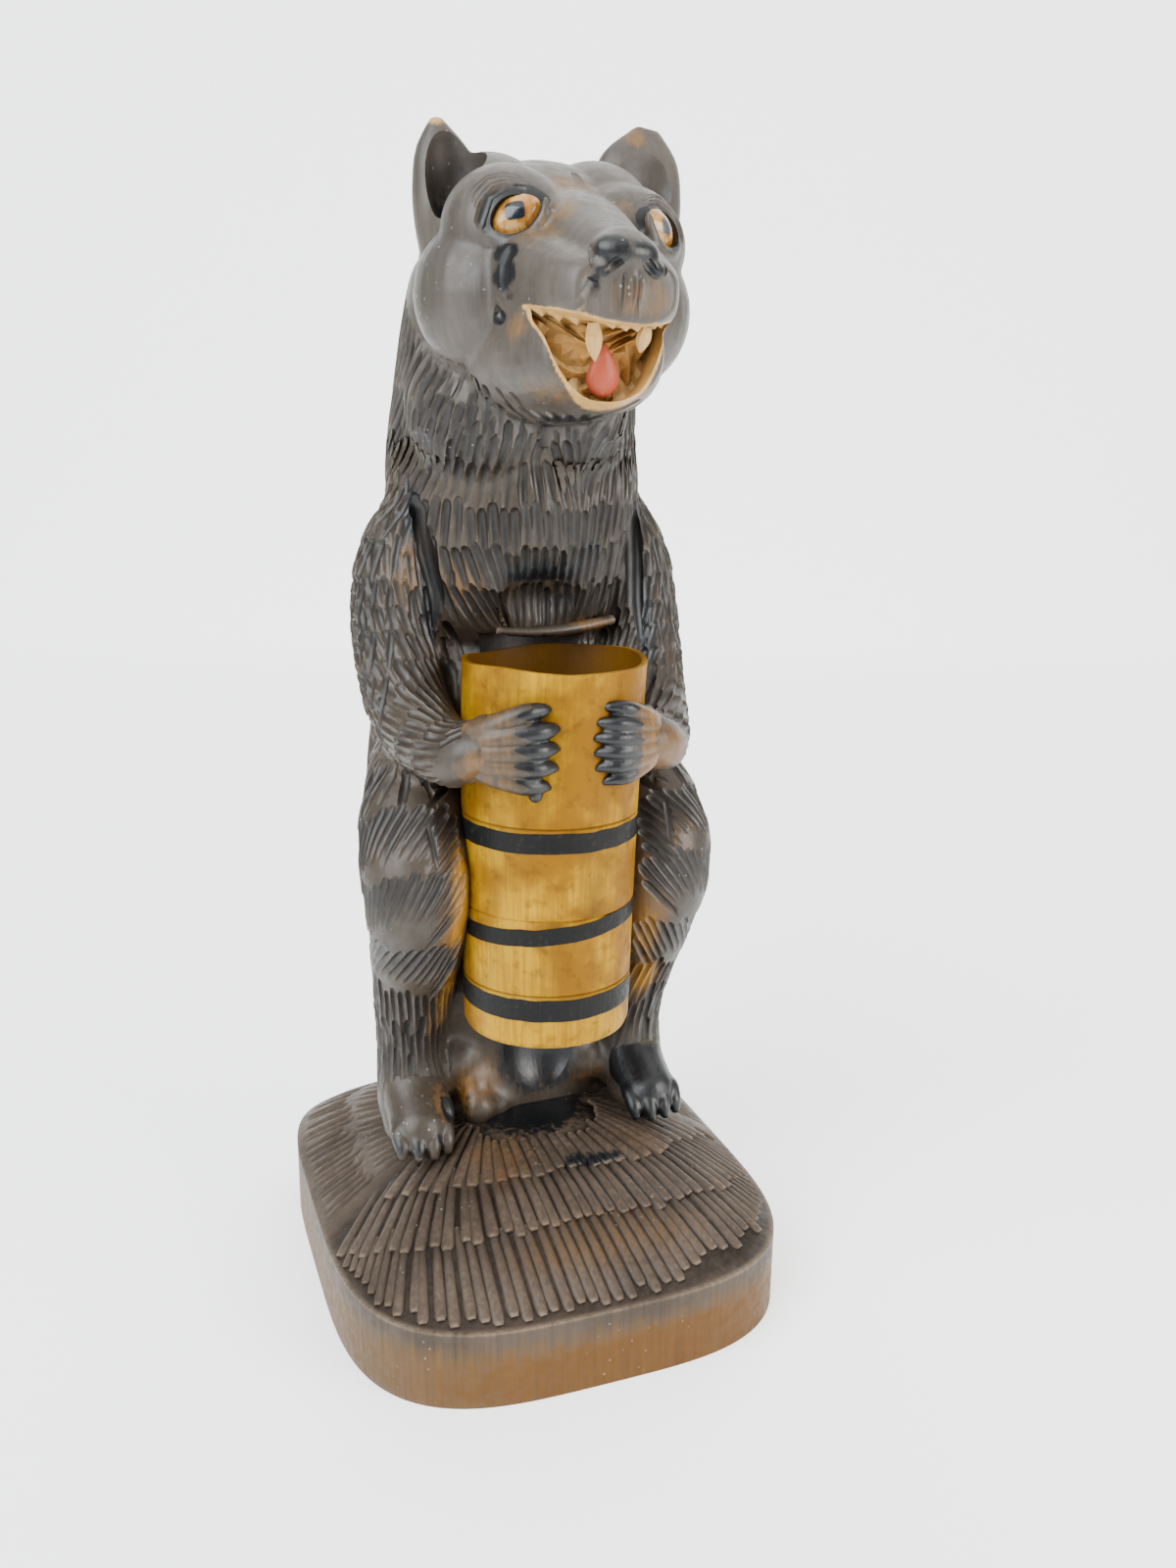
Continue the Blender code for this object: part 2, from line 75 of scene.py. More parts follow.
# %% [markdown]
# ## Camera, floor and light
#
# The photograph was taken from a little above the bear's chest and to its right, close enough for the
# plinth to spread towards the lens. A camera is a place and three directions, so its matrix is written out
# from them. The focal length is counted in rows of the picture: a thing as tall as it is far away would
# cover 1350 of the 1600 rows.

# %% Place the camera
PICTURE_ROWS = 1600
FOCAL_ROWS = 1350
SENSOR_HEIGHT = 36
NEAREST_SEEN = 0.01
CAMERA_PLACE = Vector((-0.09986, -0.30756, 0.2150))
AHEAD = Vector((0.34174775, 0.90440917, -0.25544576))
TO_THE_RIGHT = Vector((0.93647734, -0.35052915, 0.01181168))

camera_data = bpy.data.cameras.new("camera")
camera_data.sensor_fit = "VERTICAL"
camera_data.sensor_height = SENSOR_HEIGHT
camera_data.lens = FOCAL_ROWS / PICTURE_ROWS * SENSOR_HEIGHT
camera_data.clip_start = NEAREST_SEEN
camera = bpy.data.objects.new("camera", camera_data)
view = Matrix((TO_THE_RIGHT, TO_THE_RIGHT.cross(AHEAD), -AHEAD)).transposed().to_4x4()
view.translation = CAMERA_PLACE
camera.matrix_world = view
bpy.context.scene.collection.objects.link(camera)
bpy.context.scene.camera = camera
print("camera stands", round(CAMERA_PLACE.length, 3), "m from the plinth's middle")

# %% [markdown]
# The photograph has an even pale background that meets a pale table in a soft line, and almost no shadow. A
# flat floor that curls up into a wall gives the first, and a faint glow of its own keeps the shadow pale.
# The floor stops close in front of the plinth, so that its reflection doesn't veil the dark wood.

# %% Make the floor
FLOOR_HALF = 0.9
FLOOR_FRONT = 0.5
FLOOR_BACK = 0.75
FLOOR_TONE = (0.88, 0.89, 0.88, 1)
FLOOR_GLOW = 1.0
WALL_HEIGHT = 2.0
CURL = 0.05
CURL_STEPS = 8


def table_material():
    """An even pale tone that glows a little, for what isn't part of the object."""
    material = bpy.data.materials.new("pale_table")
    material.use_nodes = True
    inputs = material.node_tree.nodes["Principled BSDF"].inputs
    inputs["Base Color"].default_value = FLOOR_TONE
    inputs["Roughness"].default_value = 0.6
    inputs["Emission Color"].default_value = FLOOR_TONE
    inputs["Emission Strength"].default_value = FLOOR_GLOW
    return material


def sweep_floor():
    """A floor that curls up into a wall, as one strip of quads."""
    profile = [(-FLOOR_FRONT, 0.0), (FLOOR_BACK - CURL, 0.0)]
    for k in range(1, CURL_STEPS + 1):
        angle = math.pi / 2 * k / CURL_STEPS
        profile.append((FLOOR_BACK - CURL + CURL * math.sin(angle), CURL - CURL * math.cos(angle)))
    profile.append((FLOOR_BACK, WALL_HEIGHT))
    away = Vector((AHEAD.x, AHEAD.y, 0)).normalized()
    aside = Vector((TO_THE_RIGHT.x, TO_THE_RIGHT.y, 0)).normalized()
    shape = bmesh.new()
    rows = []
    for distance, height in profile:
        rows.append([shape.verts.new(away * distance + aside * s * FLOOR_HALF + Vector((0, 0, height)))
                     for s in (-1, 1)])
    for a, b in zip(rows, rows[1:]):
        shape.faces.new((a[0], a[1], b[1], b[0])).smooth = True
    mesh = bpy.data.meshes.new("floor")
    shape.to_mesh(mesh)
    shape.free()
    floor = bpy.data.objects.new("floor", mesh)
    bpy.context.scene.collection.objects.link(floor)
    floor.data.materials.append(table_material())
    return floor


print("floor of", len(sweep_floor().data.polygons), "faces")

# %% [markdown]
# The lacquer shows what lights it. One wide window on the left draws the long soft sheen on the arm and the
# cheek, a weaker ceiling and a small fill keep the far side readable, and a dim room fills what is left.

# %% Light the room
LIGHTS = (("window_left", (-0.9, -0.45, 0.75), (0, 0, 0.15), (1.0, 1.1), 37, (0.93, 0.97, 1.0)),
          ("ceiling", (0.1, -0.1, 1.1), (0, 0, 0.1), (1.6, 1.2), 13, (1.0, 1.0, 0.98)),
          ("fill_right", (0.7, -0.8, 0.4), (0, 0, 0.15), (0.6, 0.6), 18, (1.0, 0.98, 0.95)))
ROOM_TONE = (0.86, 0.88, 0.88, 1)
ROOM_LIGHT = 0.3


def soft_light(name, place, aim, size, watts, colour):
    """A wide area light that looks at a point."""
    data = bpy.data.lights.new(name, "AREA")
    data.shape = "RECTANGLE"
    data.size, data.size_y = size
    data.energy = watts
    data.color = colour
    light = bpy.data.objects.new(name, data)
    light.location = place
    light.rotation_euler = (Vector(aim) - Vector(place)).to_track_quat("-Z", "Y").to_euler()
    bpy.context.scene.collection.objects.link(light)


for light in LIGHTS:
    soft_light(*light)
world = bpy.data.worlds.new("pale_room")
world.use_nodes = True
world.node_tree.nodes["Background"].inputs["Color"].default_value = ROOM_TONE
world.node_tree.nodes["Background"].inputs["Strength"].default_value = ROOM_LIGHT
bpy.context.scene.world = world
print(len(LIGHTS), "lights are in place")

# %% [markdown]
# ## Clay
#
# Soft forms are easiest as lumps that melt together: tubes through a few stations for the trunk and the
# limbs, and balls for the skull, the cheeks and the brows. Remesh turns the overlapping lumps into one
# skin, and a little smoothing eases the joins, as a rasp does. Heights count from the top of the mound, in
# millimetres.

# %% Measures that the pieces share
MM = 0.001
PLINTH_WALL = 19.5 * MM
MOUND_RISE = 20.5 * MM
PLINTH_TOP = PLINTH_WALL + MOUND_RISE
BARREL_RADIUS = 21.4
BARREL_Y = 6 - BARREL_RADIUS
RIM = 124
BARREL_HEIGHT = 93
FOOT = RIM - BARREL_HEIGHT + 2
SIDES = (-1, 1)
DICE_SEED = 7
dice = random.Random(DICE_SEED)


def figure(x, y, z):
    """A point of the bear in metres, from millimetres above the top of the mound."""
    return Vector((x * MM, y * MM, PLINTH_TOP + z * MM))


def link(name, mesh):
    """A scene object for a mesh."""
    thing = bpy.data.objects.new(name, mesh)
    bpy.context.scene.collection.objects.link(thing)
    return thing


def made(name, shape):
    """A scene object from a bmesh of closed shapes, faces out."""
    bmesh.ops.recalc_face_normals(shape, faces=shape.faces)
    mesh = bpy.data.meshes.new(name)
    shape.to_mesh(mesh)
    shape.free()
    return link(name, mesh)


def bake(thing):
    """Replaces the object's mesh by what its modifiers make of it."""
    graph = bpy.context.evaluated_depsgraph_get()
    baked = bpy.data.meshes.new_from_object(thing.evaluated_get(graph))
    thing.modifiers.clear()
    thing.data = baked


def triangles(thing):
    """How many triangles a mesh object has."""
    thing.data.calc_loop_triangles()
    return len(thing.data.loop_triangles)


print("top of the mound at", round(PLINTH_TOP / MM, 1), "mm")

# %% [markdown]
# A tube is built from rings of points round a smooth line, and a rod is a tube with a ball at each end.
# Both stay closed, because the skin that is melted over them later can only tell inside from outside on
# closed shapes.

# %% Tubes, balls and rods
BALL_SEGMENTS = 28


def smooth_rows(rows, steps):
    """Catmull-Rom values between stations, which are rows of equal length."""
    rows = np.array(rows, dtype=float)
    padded = np.vstack([2 * rows[0] - rows[1], rows, 2 * rows[-1] - rows[-2]])
    result = []
    for i in range(len(rows) - 1):
        p0, p1, p2, p3 = padded[i:i + 4]
        for k in range(steps):
            t = k / steps
            result.append(0.5 * (2 * p1 + (p2 - p0) * t + (2 * p0 - 5 * p1 + 4 * p2 - p3) * t * t
                                 + (3 * p1 - p0 - 3 * p2 + p3) * t ** 3))
    result.append(rows[-1])
    return np.array(result)


def skin_rings(shape, rings):
    """Side faces between rings of equal count, and a flat face at each end."""
    for lower, upper in zip(rings, rings[1:]):
        for k in range(len(lower)):
            j = (k + 1) % len(lower)
            shape.faces.new((lower[k], lower[j], upper[j], upper[k]))
    shape.faces.new(list(reversed(rings[0])))
    shape.faces.new(rings[-1])


def tube(shape, rows, up=(0, 1, 0), squareness=2.0, sides=28, steps=5):
    """A closed tube through stations (x, y, z, half breadth, half height across up)."""
    rows = smooth_rows(rows, steps)
    centres = [figure(*row[:3]) for row in rows]
    rings = []
    for i, row in enumerate(rows):
        along = (centres[min(i + 1, len(rows) - 1)] - centres[max(i - 1, 0)]).normalized()
        across = Vector(up).cross(along).normalized()
        over = along.cross(across)
        ring = []
        for k in range(sides):
            c = math.cos(math.tau * k / sides)
            s = math.sin(math.tau * k / sides)
            reach = (abs(c) ** squareness + abs(s) ** squareness) ** (-1 / squareness)
            offset = across * (row[3] * MM * c * reach) + over * (row[4] * MM * s * reach)
            ring.append(shape.verts.new(centres[i] + offset))
        rings.append(ring)
    skin_rings(shape, rings)


def ball(shape, centre, radii, turn=(0, 0, 0)):
    """An ellipsoid, turned by degrees about X, Y and Z."""
    spin = Matrix.Identity(4)
    for angle, axis in zip(turn, "XYZ"):
        spin = Matrix.Rotation(math.radians(angle), 4, axis) @ spin
    size = Matrix.Diagonal((radii[0] * MM, radii[1] * MM, radii[2] * MM, 1))
    bmesh.ops.create_uvsphere(shape, u_segments=BALL_SEGMENTS, v_segments=BALL_SEGMENTS * 2 // 3, radius=1,
                              matrix=Matrix.Translation(figure(*centre)) @ spin @ size)


def rod(shape, rows, flatten=1.0):
    """A limb through stations (x, y, z, radius), narrowed sideways, with a ball at each end."""
    tube(shape, [(x, y, z, r * flatten, r) for x, y, z, r in rows])
    for x, y, z, r in (rows[0], rows[-1]):
        ball(shape, (x, y, z), (r * flatten, r, r))


print("a ball has", BALL_SEGMENTS, "segments round it")

# %% [markdown]
# Remesh works like wax poured over the lumps: it samples the whole in small cells and returns one skin.
# Smaller cells keep finer forms and cost more triangles. A Boolean then cuts like a real tool, with crisp
# edges.

# %% Melt lumps together and carve them
def melted(thing, voxel, easing):
    """Melts lumps into one skin of voxel millimetres and smooths it."""
    remesh = thing.modifiers.new("melt", "REMESH")
    remesh.mode = "VOXEL"
    remesh.voxel_size = voxel * MM
    ease = thing.modifiers.new("ease", "SMOOTH")
    ease.factor = 0.5
    ease.iterations = easing
    bake(thing)
    return thing


def carve(thing, tool, operation="DIFFERENCE"):
    """One Boolean step with a tool, which is used up."""
    step = thing.modifiers.new("carve", "BOOLEAN")
    step.operation = operation
    step.solver = "MANIFOLD"
    step.object = tool
    bake(thing)
    bpy.data.objects.remove(tool)


def skin_of(thing):
    """A tree that finds the nearest point on a thing's surface."""
    return BVHTree.FromObject(thing, bpy.context.evaluated_depsgraph_get())


print("a carving step is a Boolean with a closed tool")

# %% [markdown]
# ### The bear's lumps
#
# The trunk is one tall tube, narrow at the waist where the barrel's rim sits before the chest. Arms and
# legs are rods, and the paws reach round the barrel. Small lumps of waste wood were left between the feet.

# %% Trunk, limbs and paws
TRUNK = [(-8, 20, 34, 19), (20, 20, 34, 20), (38, 19, 35.5, 24), (60, 18, 37, 27), (90, 18, 37, 27),
         (112, 19, 34, 24), (126, 22, 31, 18.5), (142, 15, 31, 24), (160, 11.5, 31.5, 27),
         (170, 12, 31, 27.5), (184, 9, 29.5, 26.5), (197, 4, 28.5, 24.5), (209, 0, 26.5, 23),
         (217, -1, 22, 20)]


def beside_barrel(side, degrees, gap, z):
    """A place beside the barrel's wall, turned from its front towards one side."""
    reach = BARREL_RADIUS + gap
    angle = math.radians(degrees)
    return (side * reach * math.sin(angle), BARREL_Y - reach * math.cos(angle), z)


def arm_line(side):
    """Stations of one arm: shoulder, upper arm, elbow and wrist."""
    return [(side * 19.5, 9, 163, 7.5), (side * 26, 9, 154, 10.5), (side * 30, 8.5, 143, 12.5),
            (side * 32, 6, 128, 12), (side * 30.5, -3, 111, 11.8), (*beside_barrel(side, 82, 4.9, 104), 9.4),
            (*beside_barrel(side, 60, 3.2, 106), 7.8), (*beside_barrel(side, 45, 1.6, 107), 5.6)]


def leg_line(side):
    """Stations of one leg: hip, thigh, bulging knee, shin and ankle."""
    return [(side * 27, 6, 94, 12), (side * 31, -6, 82, 13.5), (side * 31.6, -12, 70, 13.5),
            (side * 31, -8, 55, 12), (side * 30.6, 0, 38, 10.4), (side * 30.8, 4.5, 20, 8.8),
            (side * 31, 3, 6, 9)]


WASTE_WOOD = ((-18, 4, 14, 6.0), (-14, 3.5, 8, 5.5), (-14, -1, 2, 5.0), (-8.5, 1, 0.5, 4.0), (19, 5, 8, 6.0))


def body_clay(shape):
    """Trunk, arms, paws, legs and feet."""
    tube(shape, [(0, y, z, a, b) for z, y, a, b in TRUNK], sides=56)
    for side in SIDES:
        rod(shape, arm_line(side), flatten=0.85)
        ball(shape, beside_barrel(side, 54, 2.0, 107), (6.0, 4.2, 8.0), (0, 0, side * 54))
        ball(shape, (side * 25.5, 14, 60), (13, 21, 33))
        rod(shape, leg_line(side))
        ball(shape, (side * 31, -4, 2.5), (9, 12, 5.5), (0, 0, -side * 4))
    for x, y, z, size in WASTE_WOOD:
        ball(shape, (x, y, z), (size, size * 0.8, size))


print("trunk of", len(TRUNK), "stations, arm of", len(arm_line(1)), "and leg of", len(leg_line(1)))

# %% [markdown]
# A bear's head is a round skull with heavy brows and cheeks, and a muzzle that is boxy above and round
# below, so it is made of balls and three short tubes. The face leans a little to the bear's left, as the
# carver left it, and one ear stands taller than the other.

# %% Head
BRIDGE = [(-20, 212, 15, 14), (-36, 211, 11, 11), (-48, 208.5, 9, 8), (-58, 206, 7, 6)]
MUZZLE = [(-22, 204, 22, 14), (-38, 203, 18.5, 12), (-50, 202, 15, 9), (-57.5, 201.5, 12.5, 6.9),
          (-61, 201.3, 10.2, 5.6)]
JAW = [(-20, 191, 19, 14), (-38, 191, 18, 13), (-46, 191, 15.5, 11.5), (-52.5, 191.5, 12.5, 9.5)]
FACE_TUBES = ((BRIDGE, 2.0), (MUZZLE, 3.2), (JAW, 2.4))
LEAN = math.radians(4.5)
LEAN_HEIGHT = 203


def lean(x, y, z):
    """A point of the face, which leans a little to the bear's left about the muzzle."""
    rise = z - LEAN_HEIGHT
    return (x * math.cos(LEAN) + rise * math.sin(LEAN), y,
            LEAN_HEIGHT + rise * math.cos(LEAN) - x * math.sin(LEAN))


EAR = {-1: (-17.5, -7, 240, (7.7, 8.6, 7.9, 5.6, 1.2)), 1: (23.2, -1, 243, (10.3, 11.6, 11.2, 8.8, 3.0))}
EAR_DROPS = (30, 21, 13, 6, 0)
EAR_SPREAD = (0, 1.7, 3, 4.5, 5.4)
EAR_BACK = (3, 0, 0, 0, 0)
EAR_THICKNESS = (8, 7, 6, 4, 1.2)


def head_clay(shape):
    """Skull, brows, cheeks, muzzle, jaw, nose and ears."""
    ball(shape, (0, -6, 209), (26.5, 28, 24))
    for side in SIDES:
        ball(shape, (side * 12, -8, 219), (14, 20, 14.5))
        ball(shape, lean(side * 13, -23, 215), (14, 13.5, 13))
        ball(shape, lean(side * 14, -19, 202), (17, 17, 17))
        ball(shape, lean(side * 7, -24, 190.5), (13.5, 16, 12.5))
        x, y, tip, breadths = EAR[side]
        stations = zip(EAR_DROPS, EAR_SPREAD, EAR_BACK, breadths, EAR_THICKNESS)
        tube(shape, [(x + side * spread, y + back, tip - drop, breadth, thickness)
                     for drop, spread, back, breadth, thickness in stations])
    ball(shape, (-13, -4, 182), (17, 20, 20))
    ball(shape, (7, -4, 182), (15, 20, 20))
    for rows, squareness in FACE_TUBES:
        tube(shape, [(*lean(0, y, z), a, b) for y, z, a, b in rows], up=(0, 0, 1), squareness=squareness)
    ball(shape, lean(-0.5, -58.5, 208.5), (6, 4.5, 4.5))


print("head of", len(FACE_TUBES), "tubes, with ears", [EAR[side][2] for side in SIDES], "mm up")

# %% [markdown]
# The whole bear is melted into a smooth guide first. It isn't shown: the gouge cuts are laid out on it, and
# the depth of the carving is measured from it. Two broad hollows are cut before any gouge is used, under
# the chest and under the barrel.

# %% The smooth guide
GUIDE_VOXEL = 1.3
BROAD_HOLLOWS = (((1, -15.0, 135.2), (16, 10.5, 8.6)), ((4, -4, 16), (12, 10, 14.5)))


def bear_clay(name, voxel, easing, *more):
    """The whole bear as one smooth skin, with further lumps if any are named."""
    shape = bmesh.new()
    body_clay(shape)
    head_clay(shape)
    for add in more:
        add(shape)
    return melted(made(name, shape), voxel, easing)


def hollowed(thing):
    """Cuts the broad hollows."""
    shape = bmesh.new()
    for centre, radii in BROAD_HOLLOWS:
        ball(shape, centre, radii)
    carve(thing, made("hollows", shape))
    return thing


guide = hollowed(bear_clay("guide", GUIDE_VOXEL, 6))
bear_skin = skin_of(guide)
print("guide skin:", triangles(guide), "triangles")

# %% [markdown]
# The eyes are almonds cut into the face, with the outer corner low. Each has a small frame of its own: a
# centre on the skin, a way to its outer corner, a way over it and a way out. Lids, creases and pupils all
# use it.

# %% Frames of the eyes, lids and nose
EYES = {-1: (-14.3, 217.4, 5.2, 3.4, 26, 0.45), 1: (18.6, 216.8, 4.8, 3.4, 20, 0.6)}


def on_face(x, z):
    """The point of the smooth skin that is seen from the front at x and z."""
    return bear_skin.ray_cast(figure(x, -90, z), Vector((0, 1, 0)))[0]


def eye_frame(side, tilt=None):
    """Centre, way to the outer corner, way over and way out of one eye, at its own tilt if none is given."""
    x, z, _, _, own_tilt, sideways = EYES[side]
    tilt = own_tilt if tilt is None else tilt
    out = Vector((side * sideways, -0.88, 0.12)).normalized()
    level = Vector((side, 0, 0))
    level = (level - out * level.dot(out)).normalized()
    rise = Vector((0, 0, 1))
    rise = (rise - out * rise.dot(out) - level * rise.dot(level)).normalized()
    turn = math.radians(tilt)
    return (on_face(x, z), level * math.cos(turn) - rise * math.sin(turn),
            level * math.sin(turn) + rise * math.cos(turn), out)


def eye_ring(side, along, over, lift, first=0, last=360, count=72):
    """Points round an eye: scales of its two half axes, and millimetres out of the skin."""
    centre, outer, rise, out = eye_frame(side)
    _, _, a, b, _, _ = EYES[side]
    points = []
    closed = last - first == 360
    for k in range(count):
        angle = math.radians(first + (last - first) * k / (count if closed else count - 1))
        c = math.cos(angle)
        s = math.sin(angle)
        height = b * over * s * (1.08 - 0.2 * c * c)
        points.append(centre + (outer * (a * along * c) + rise * height + out * lift) * MM)
    return points


def to_rows(points, radii):
    """Rod stations from points in metres."""
    return [(p.x / MM, p.y / MM, (p.z - PLINTH_TOP) / MM, r) for p, r in zip(points, radii)]


LOWER_LID = (0.9, 1.2, 1.35, 1.4, 1.35, 1.2, 0.7)


def face_details(shape):
    """Lower lids, nose cap with its wings, and the column under it."""
    for side in SIDES:
        rod(shape, to_rows(eye_ring(side, 1.28, 1.34, 0.0, 190, 345, len(LOWER_LID)), LOWER_LID))
        ball(shape, (0.4 + side * 4.6, -59.6, 205.6), (2.6, 3.2, 2.3), (0, side * 15, 0))
    ball(shape, (0.0, -59.6, 208.6), (7.0, 5.0, 3.5), (14, 4, 0))
    rod(shape, [(0.4, -61.0, 206, 2.3), (0.4, -61.2, 202, 2.0), (0.4, -60.0, 197.5, 1.6)])


print("eyes look out from", [[round(v / MM, 1) for v in eye_frame(side)[0]] for side in SIDES])

# %% [markdown]
# ## Gouge cuts
#
# A gouge goes in steeply, so each cut starts with a rounded arch, and comes out shallow, so it ends in a
# point. Neighbouring cuts leave a sharp ridge. Moving the points of a mesh would blur that ridge, so each
# cut is made as the real one is: a round-nosed tool is laid along the surface and subtracted. Tools that
# touch each other go into different steps, because a Boolean wants a tool that doesn't cross itself.

# %% The tool for one cut
TOOL_RINGS = [(0.0, 0.35, -0.10), (0.03, 0.72, 0.45), (0.12, 0.97, 0.97), (0.38, 1.0, 0.9),
              (0.62, 0.96, 0.62), (0.82, 0.82, 0.30), (1.0, 0.45, -0.12)]
TOOL_SIDES = 10
PATH_POINTS = 5


def along_path(path, share):
    """Point and normal at a share of a path of (point, normal)."""
    steps = np.linspace(0, 1, len(path))
    spot, normal = (Vector([np.interp(share, steps, [pair[which][k] for pair in path]) for k in range(3)])
                    for which in (0, 1))
    return spot, normal.normalized()


def tool(shape, path, width, depth):
    """A closed, round-nosed tool along a path of (point, normal) on the surface."""
    radius = (width * width / 4 + depth * depth) / (2 * depth)
    rings = []
    for share, fullness, dip in TOOL_RINGS:
        spot, normal = along_path(path, share)
        ahead, _ = along_path(path, min(share + 0.05, 1))
        behind, _ = along_path(path, max(share - 0.05, 0))
        along = (ahead - behind).normalized()
        across = along.cross(normal).normalized()
        over = across.cross(along)
        centre = spot + over * ((radius * fullness - depth * dip) * MM)
        ring = []
        for k in range(TOOL_SIDES):
            angle = math.tau * k / TOOL_SIDES
            spoke = across * math.cos(angle) + over * math.sin(angle)
            ring.append(shape.verts.new(centre + spoke * (radius * fullness * MM)))
        rings.append(ring)
    skin_rings(shape, rings)


def surface_path(tree, start, flow, length):
    """Points and normals on a skin from a start, following a direction for length millimetres."""
    path = []
    spot = start
    for _ in range(PATH_POINTS):
        spot, normal, _, _ = tree.find_nearest(spot)
        path.append((spot, normal))
        step = (flow - normal * flow.dot(normal)).normalized()
        spot = spot + step * (length * MM / (PATH_POINTS - 1))
    return path


print("a gouge has", len(TOOL_RINGS), "rings of", TOOL_SIDES, "points")

# %% [markdown]
# The carver worked down each limb in rows, each row set off by half a cut from the one above, like
# shingles. So the cuts are laid out in the same way: rings of rays from the limb's line out to the skin, a
# little uneven by dice. Cuts that would touch get different batch numbers.

# %% Rows of cuts round a limb
ROW_SHARE = 0.72
JITTER = 0.1


def rows_round(line, width, length, depth, slant, spacing=0.9, reach=1.5):
    """Cuts in rows round a line of stations (x, y, z, radius), as (batch, path, width, depth)."""
    rows = smooth_rows(line, 6)
    centres = [figure(*row[:3]) for row in rows]
    travelled = [0.0]
    for a, b in zip(centres, centres[1:]):
        travelled.append(travelled[-1] + (b - a).length)
    found = []
    gap = length * ROW_SHARE * MM
    for row in range(int(travelled[-1] / gap)):
        goal = (row + 0.5) * gap
        i = min(max(k for k, t in enumerate(travelled) if t <= goal), len(centres) - 2)
        centre = centres[i].lerp(centres[i + 1], (goal - travelled[i]) / (travelled[i + 1] - travelled[i]))
        along = (centres[i + 1] - centres[i]).normalized()
        across = along.orthogonal().normalized()
        over = along.cross(across)
        radius = rows[i][3] * MM
        count = 2 * max(3, round(math.pi * radius / (width * spacing * MM)))
        for k in range(count):
            angle = math.tau * (k + 0.5 * (row % 2)) / count
            spoke = across * math.cos(angle) + over * math.sin(angle)
            spot, _, _, distance = bear_skin.ray_cast(centre, spoke)
            shake = [dice.uniform(-1, 1) for _ in range(3)]
            if spot is None or distance > reach * radius:
                continue
            flow = along + along.cross(spoke) * slant(spot)
            start = spot + flow * (shake[0] * JITTER * length * MM)
            for _ in range(8):
                if furred(start):
                    break
                start = start + flow * (length * MM * 0.08)
            if not furred(start):
                continue
            path = surface_path(bear_skin, start, flow, length)
            if not furred(path[-1][0]):
                continue
            batch = 2 * (row % 2) + k % 2
            found.append((batch, path, width * (1 + 0.08 * shake[1]), depth * (1 + 0.2 * shake[2])))
    return found


def carve_cuts(thing, cuts, keep=lambda point: True):
    """Subtracts all cuts from a thing, batch by batch."""
    for batch in range(4):
        shape = bmesh.new()
        for number, path, width, depth in cuts:
            if number == batch and keep(path[2][0]):
                tool(shape, path, width, depth)
        if shape.faces:
            carve(thing, made("tool", shape))
        else:
            shape.free()


print("each row starts", ROW_SHARE, "of a cut below the last")

# %% [markdown]
# Fur covers the trunk, the limbs and the back of the head. The face, ears, paws and feet are smooth, and
# the gouge can't reach beside the barrel. On the neck the cuts sweep back, and below the shoulder they turn
# inward.

# %% Where the fur is, and its rows
FACE_HEIGHTS = (178, 183, 187, 191, 196, 203, 214, 222)
FACE_EDGE = (-60, -31, -26, -18, -6, 2, 8, 12)


def furred(spot):
    """True where the bear has cut fur: not on its face, ears, paws, feet or beside the barrel."""
    x, y, z = spot.x / MM, spot.y / MM, (spot.z - PLINTH_TOP) / MM
    face = y < np.interp(z, FACE_HEIGHTS, FACE_EDGE)
    paw = y < -32 and 95 < z < 119
    barrel_side = math.hypot(x, y - BARREL_Y) < BARREL_RADIUS + 1.0 and z < RIM
    recess = abs(x) < 21 and y < 10 and z < 34
    return 3 < z < 224 and not (face or paw or barrel_side or recess)


def hill(x, z, middle_x, middle_z, half_x, half_z):
    """1 at a middle, falling softly to nothing around it."""
    return math.exp(-((x - middle_x) / half_x) ** 2 - ((z - middle_z) / half_z) ** 2)


def sweep(spot):
    """How far the trunk's cuts lean: back beside the neck, and inward below the shoulder."""
    x, z = spot.x / MM, (spot.z - PLINTH_TOP) / MM
    return (0.5 * hill(x, z, -27, 182, 10, 24) - 0.55 * hill(x, z, -17, 142, 9, 16)
            + 0.3 * hill(x, z, 17, 176, 10, 16) - 0.25 * hill(x, z, 2, 168, 8, 12))


TRUNK_LINE = [(0, -2, 222, 26), (0, 6, 190, 27), (0, 14, 150, 29), (0, 17, 100, 32), (0, 18, 40, 31),
              (0, 19, 4, 28)]
CHEEK_LINE = [(0, -8, 198, 24), (0, -4, 174, 26)]
THROAT_LINE = [(0, 8, 182, 30), (0, 9, 168, 30)]
cuts = rows_round(TRUNK_LINE, 2.8, 15, 1.0, sweep)
cuts += [cut for cut in rows_round(CHEEK_LINE, 2.7, 12, 0.9, sweep, reach=1.9) if cut[1][0][0].y < -12 * MM]
cuts += rows_round(THROAT_LINE, 2.8, 14, 0.9, sweep)
limb_cuts = []
for side in SIDES:
    limb_cuts += rows_round(arm_line(side), 2.7, 10, 0.75, lambda spot: 0.4 * side, spacing=1.0)
    limb_cuts += rows_round(leg_line(side)[:4], 2.6, 16, 0.85, lambda spot: -0.6 * side)
    limb_cuts += rows_round(leg_line(side)[3:], 2.4, 22, 0.8, lambda spot: 0.1 * side)
print(len(cuts), "cuts on the trunk and", len(limb_cuts), "on the limbs")

# %% [markdown]
# Colour follows the cuts: stain gathers in them and wears off the ridges between them. So each piece stores,
# at every point, how deep it lies under the smooth skin that was there before the cut; on the head and the
# body painted shade is added to that stored depth. The same kind of stored value marks where the maker
# painted black, where painted shade blackens the deep places, where bare amber wood shows and where the stain
# is thin and brown.

# %% Values stored on the points of a piece
def point_places(thing):
    """All points of a mesh in millimetres of the figure."""
    places = np.empty(len(thing.data.vertices) * 3)
    thing.data.vertices.foreach_get("co", places)
    places = places.reshape(-1, 3) / MM
    places[:, 2] -= PLINTH_TOP / MM
    return places


